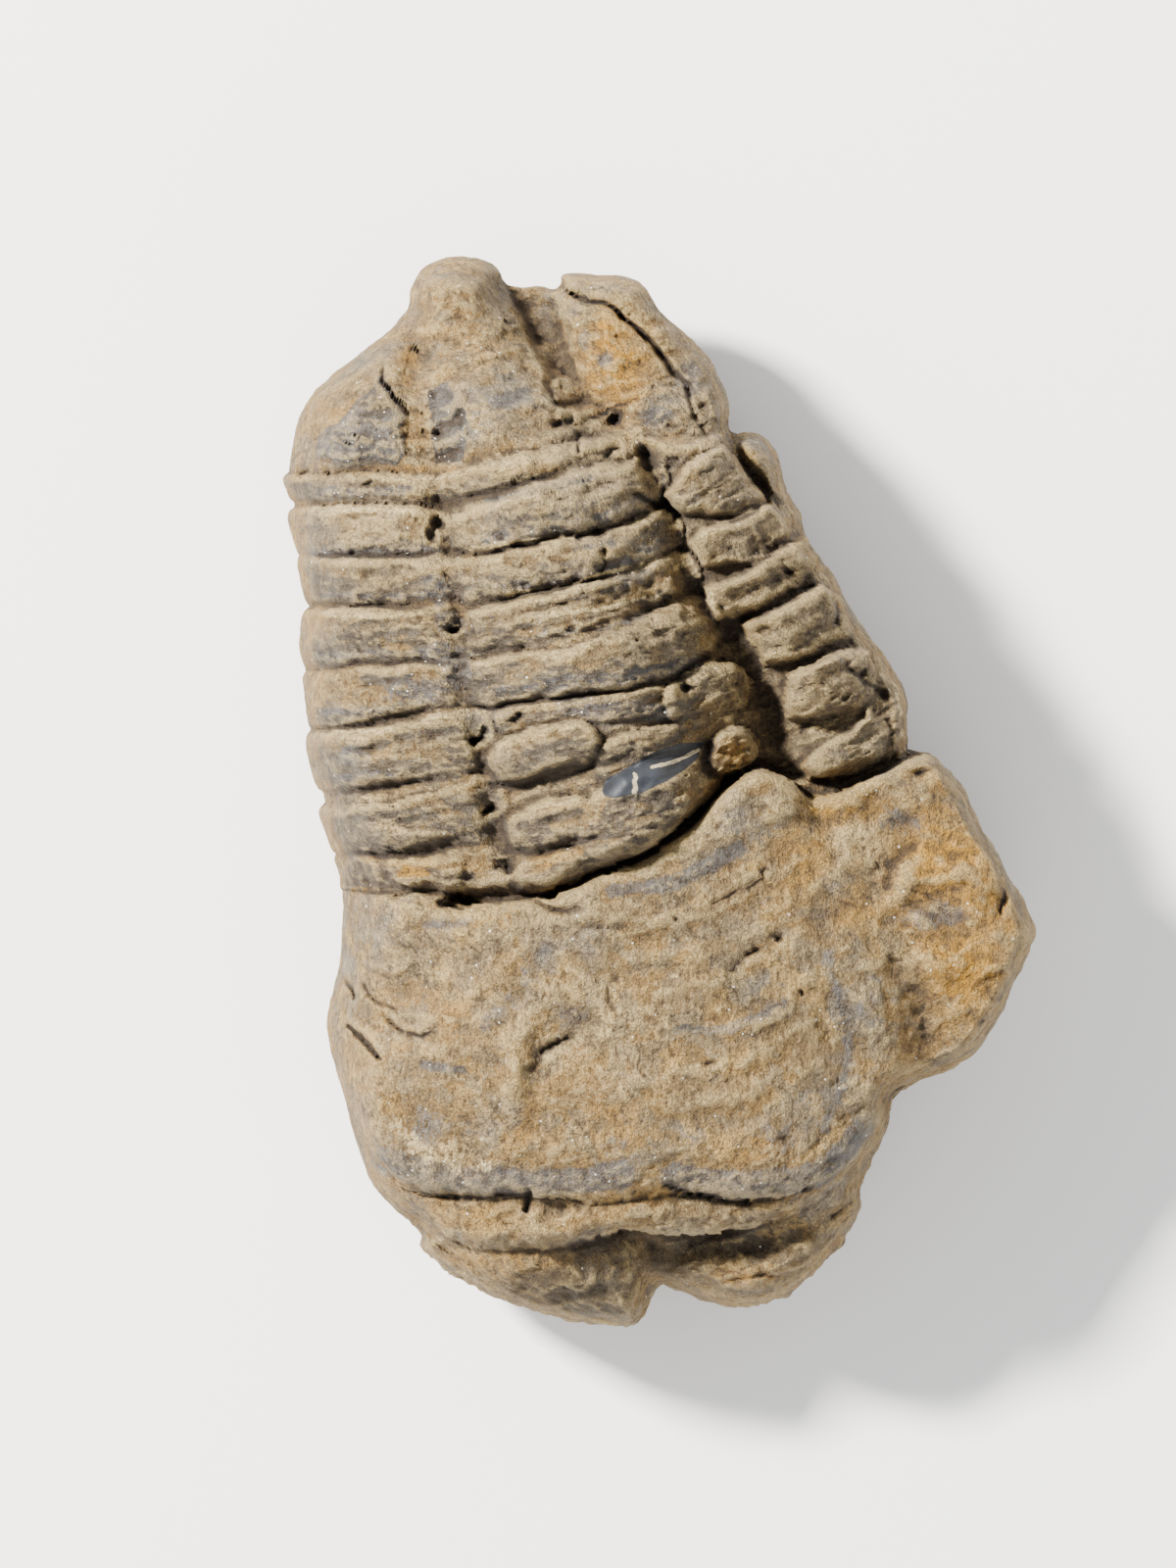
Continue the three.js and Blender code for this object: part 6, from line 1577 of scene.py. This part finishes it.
height = 0.0
for name, share in BUMPS:
    height = add_node(tree, "ShaderNodeMath", {0: pattern[name], 1: share, 2: height},
                      operation="MULTIPLY_ADD")
for name, level, step in STEPS:
    ledge = add_node(tree, "ShaderNodeMapRange", {
        "Value": pattern[name], "From Min": level - STEP_EDGE, "From Max": level + STEP_EDGE,
        "To Max": step}, interpolation_type="SMOOTHSTEP")
    height = add_node(tree, "ShaderNodeMath", {0: height, 1: ledge}, operation="ADD")
rubbed = add_node(tree, "ShaderNodeMapRange", {
    "Value": pattern["polished"], "From Min": POLISHED_FROM, "From Max": POLISHED_TO,
    "To Min": 1, "To Max": POLISHED_BUMP})
bump = add_node(tree, "ShaderNodeBump", {"Height": height, "Distance": MM, "Strength": rubbed})
dull = add_node(tree, "ShaderNodeMapRange", {
    "Value": pattern["polished"], "From Min": POLISHED_FROM, "From Max": POLISHED_TO,
    "To Min": DULL, "To Max": POLISHED_DULL})
gloss = add_node(tree, "ShaderNodeMath", {0: glint, 1: GLINT_GLOSS, 2: dull},
                 operation="MULTIPLY_ADD")
surface = add_node(tree, "ShaderNodeBsdfPrincipled", {
    "Base Color": colour, "Roughness": gloss, "IOR": 1.5, "Normal": bump}, "BSDF")
add_node(tree, "ShaderNodeOutputMaterial", {"Surface": surface}, None)
mesh.materials.append(siltstone)
print("material nodes:", len(tree.nodes))

# %% [markdown]
# ## The floor
#
# A studio often has a backdrop that curves up behind the object.  Here the view is from straight
# above, so one wide flat plate in matt white paint fills it, and the light comes back off it evenly.

# %% Floor
FLOOR_HALF = 2.0                 # m
floor_mesh = bpy.data.meshes.new("floor")
floor_mesh.from_pydata([(-FLOOR_HALF, -FLOOR_HALF, 0), (FLOOR_HALF, -FLOOR_HALF, 0),
                        (FLOOR_HALF, FLOOR_HALF, 0), (-FLOOR_HALF, FLOOR_HALF, 0)], [], [(0, 1, 2, 3)])
floor = bpy.data.objects.new("floor", floor_mesh)
bpy.context.scene.collection.objects.link(floor)
paint = bpy.data.materials.new("matt_white_paint")
paint.use_nodes = True
painted = paint.node_tree.nodes["Principled BSDF"].inputs
painted["Base Color"].default_value = linear("#f4f4f3")
painted["Roughness"].default_value = 0.9
floor_mesh.materials.append(paint)
floor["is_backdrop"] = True
print("floor:", 2 * FLOOR_HALF, "m wide")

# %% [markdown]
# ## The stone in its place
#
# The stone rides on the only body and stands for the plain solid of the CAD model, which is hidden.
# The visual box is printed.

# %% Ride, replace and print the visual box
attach(stone, "root")
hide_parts("trilobite_fossil")
low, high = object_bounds()
print("visual box, mm:", [round((b - a) / MM, 1) for a, b in zip(low, high)])
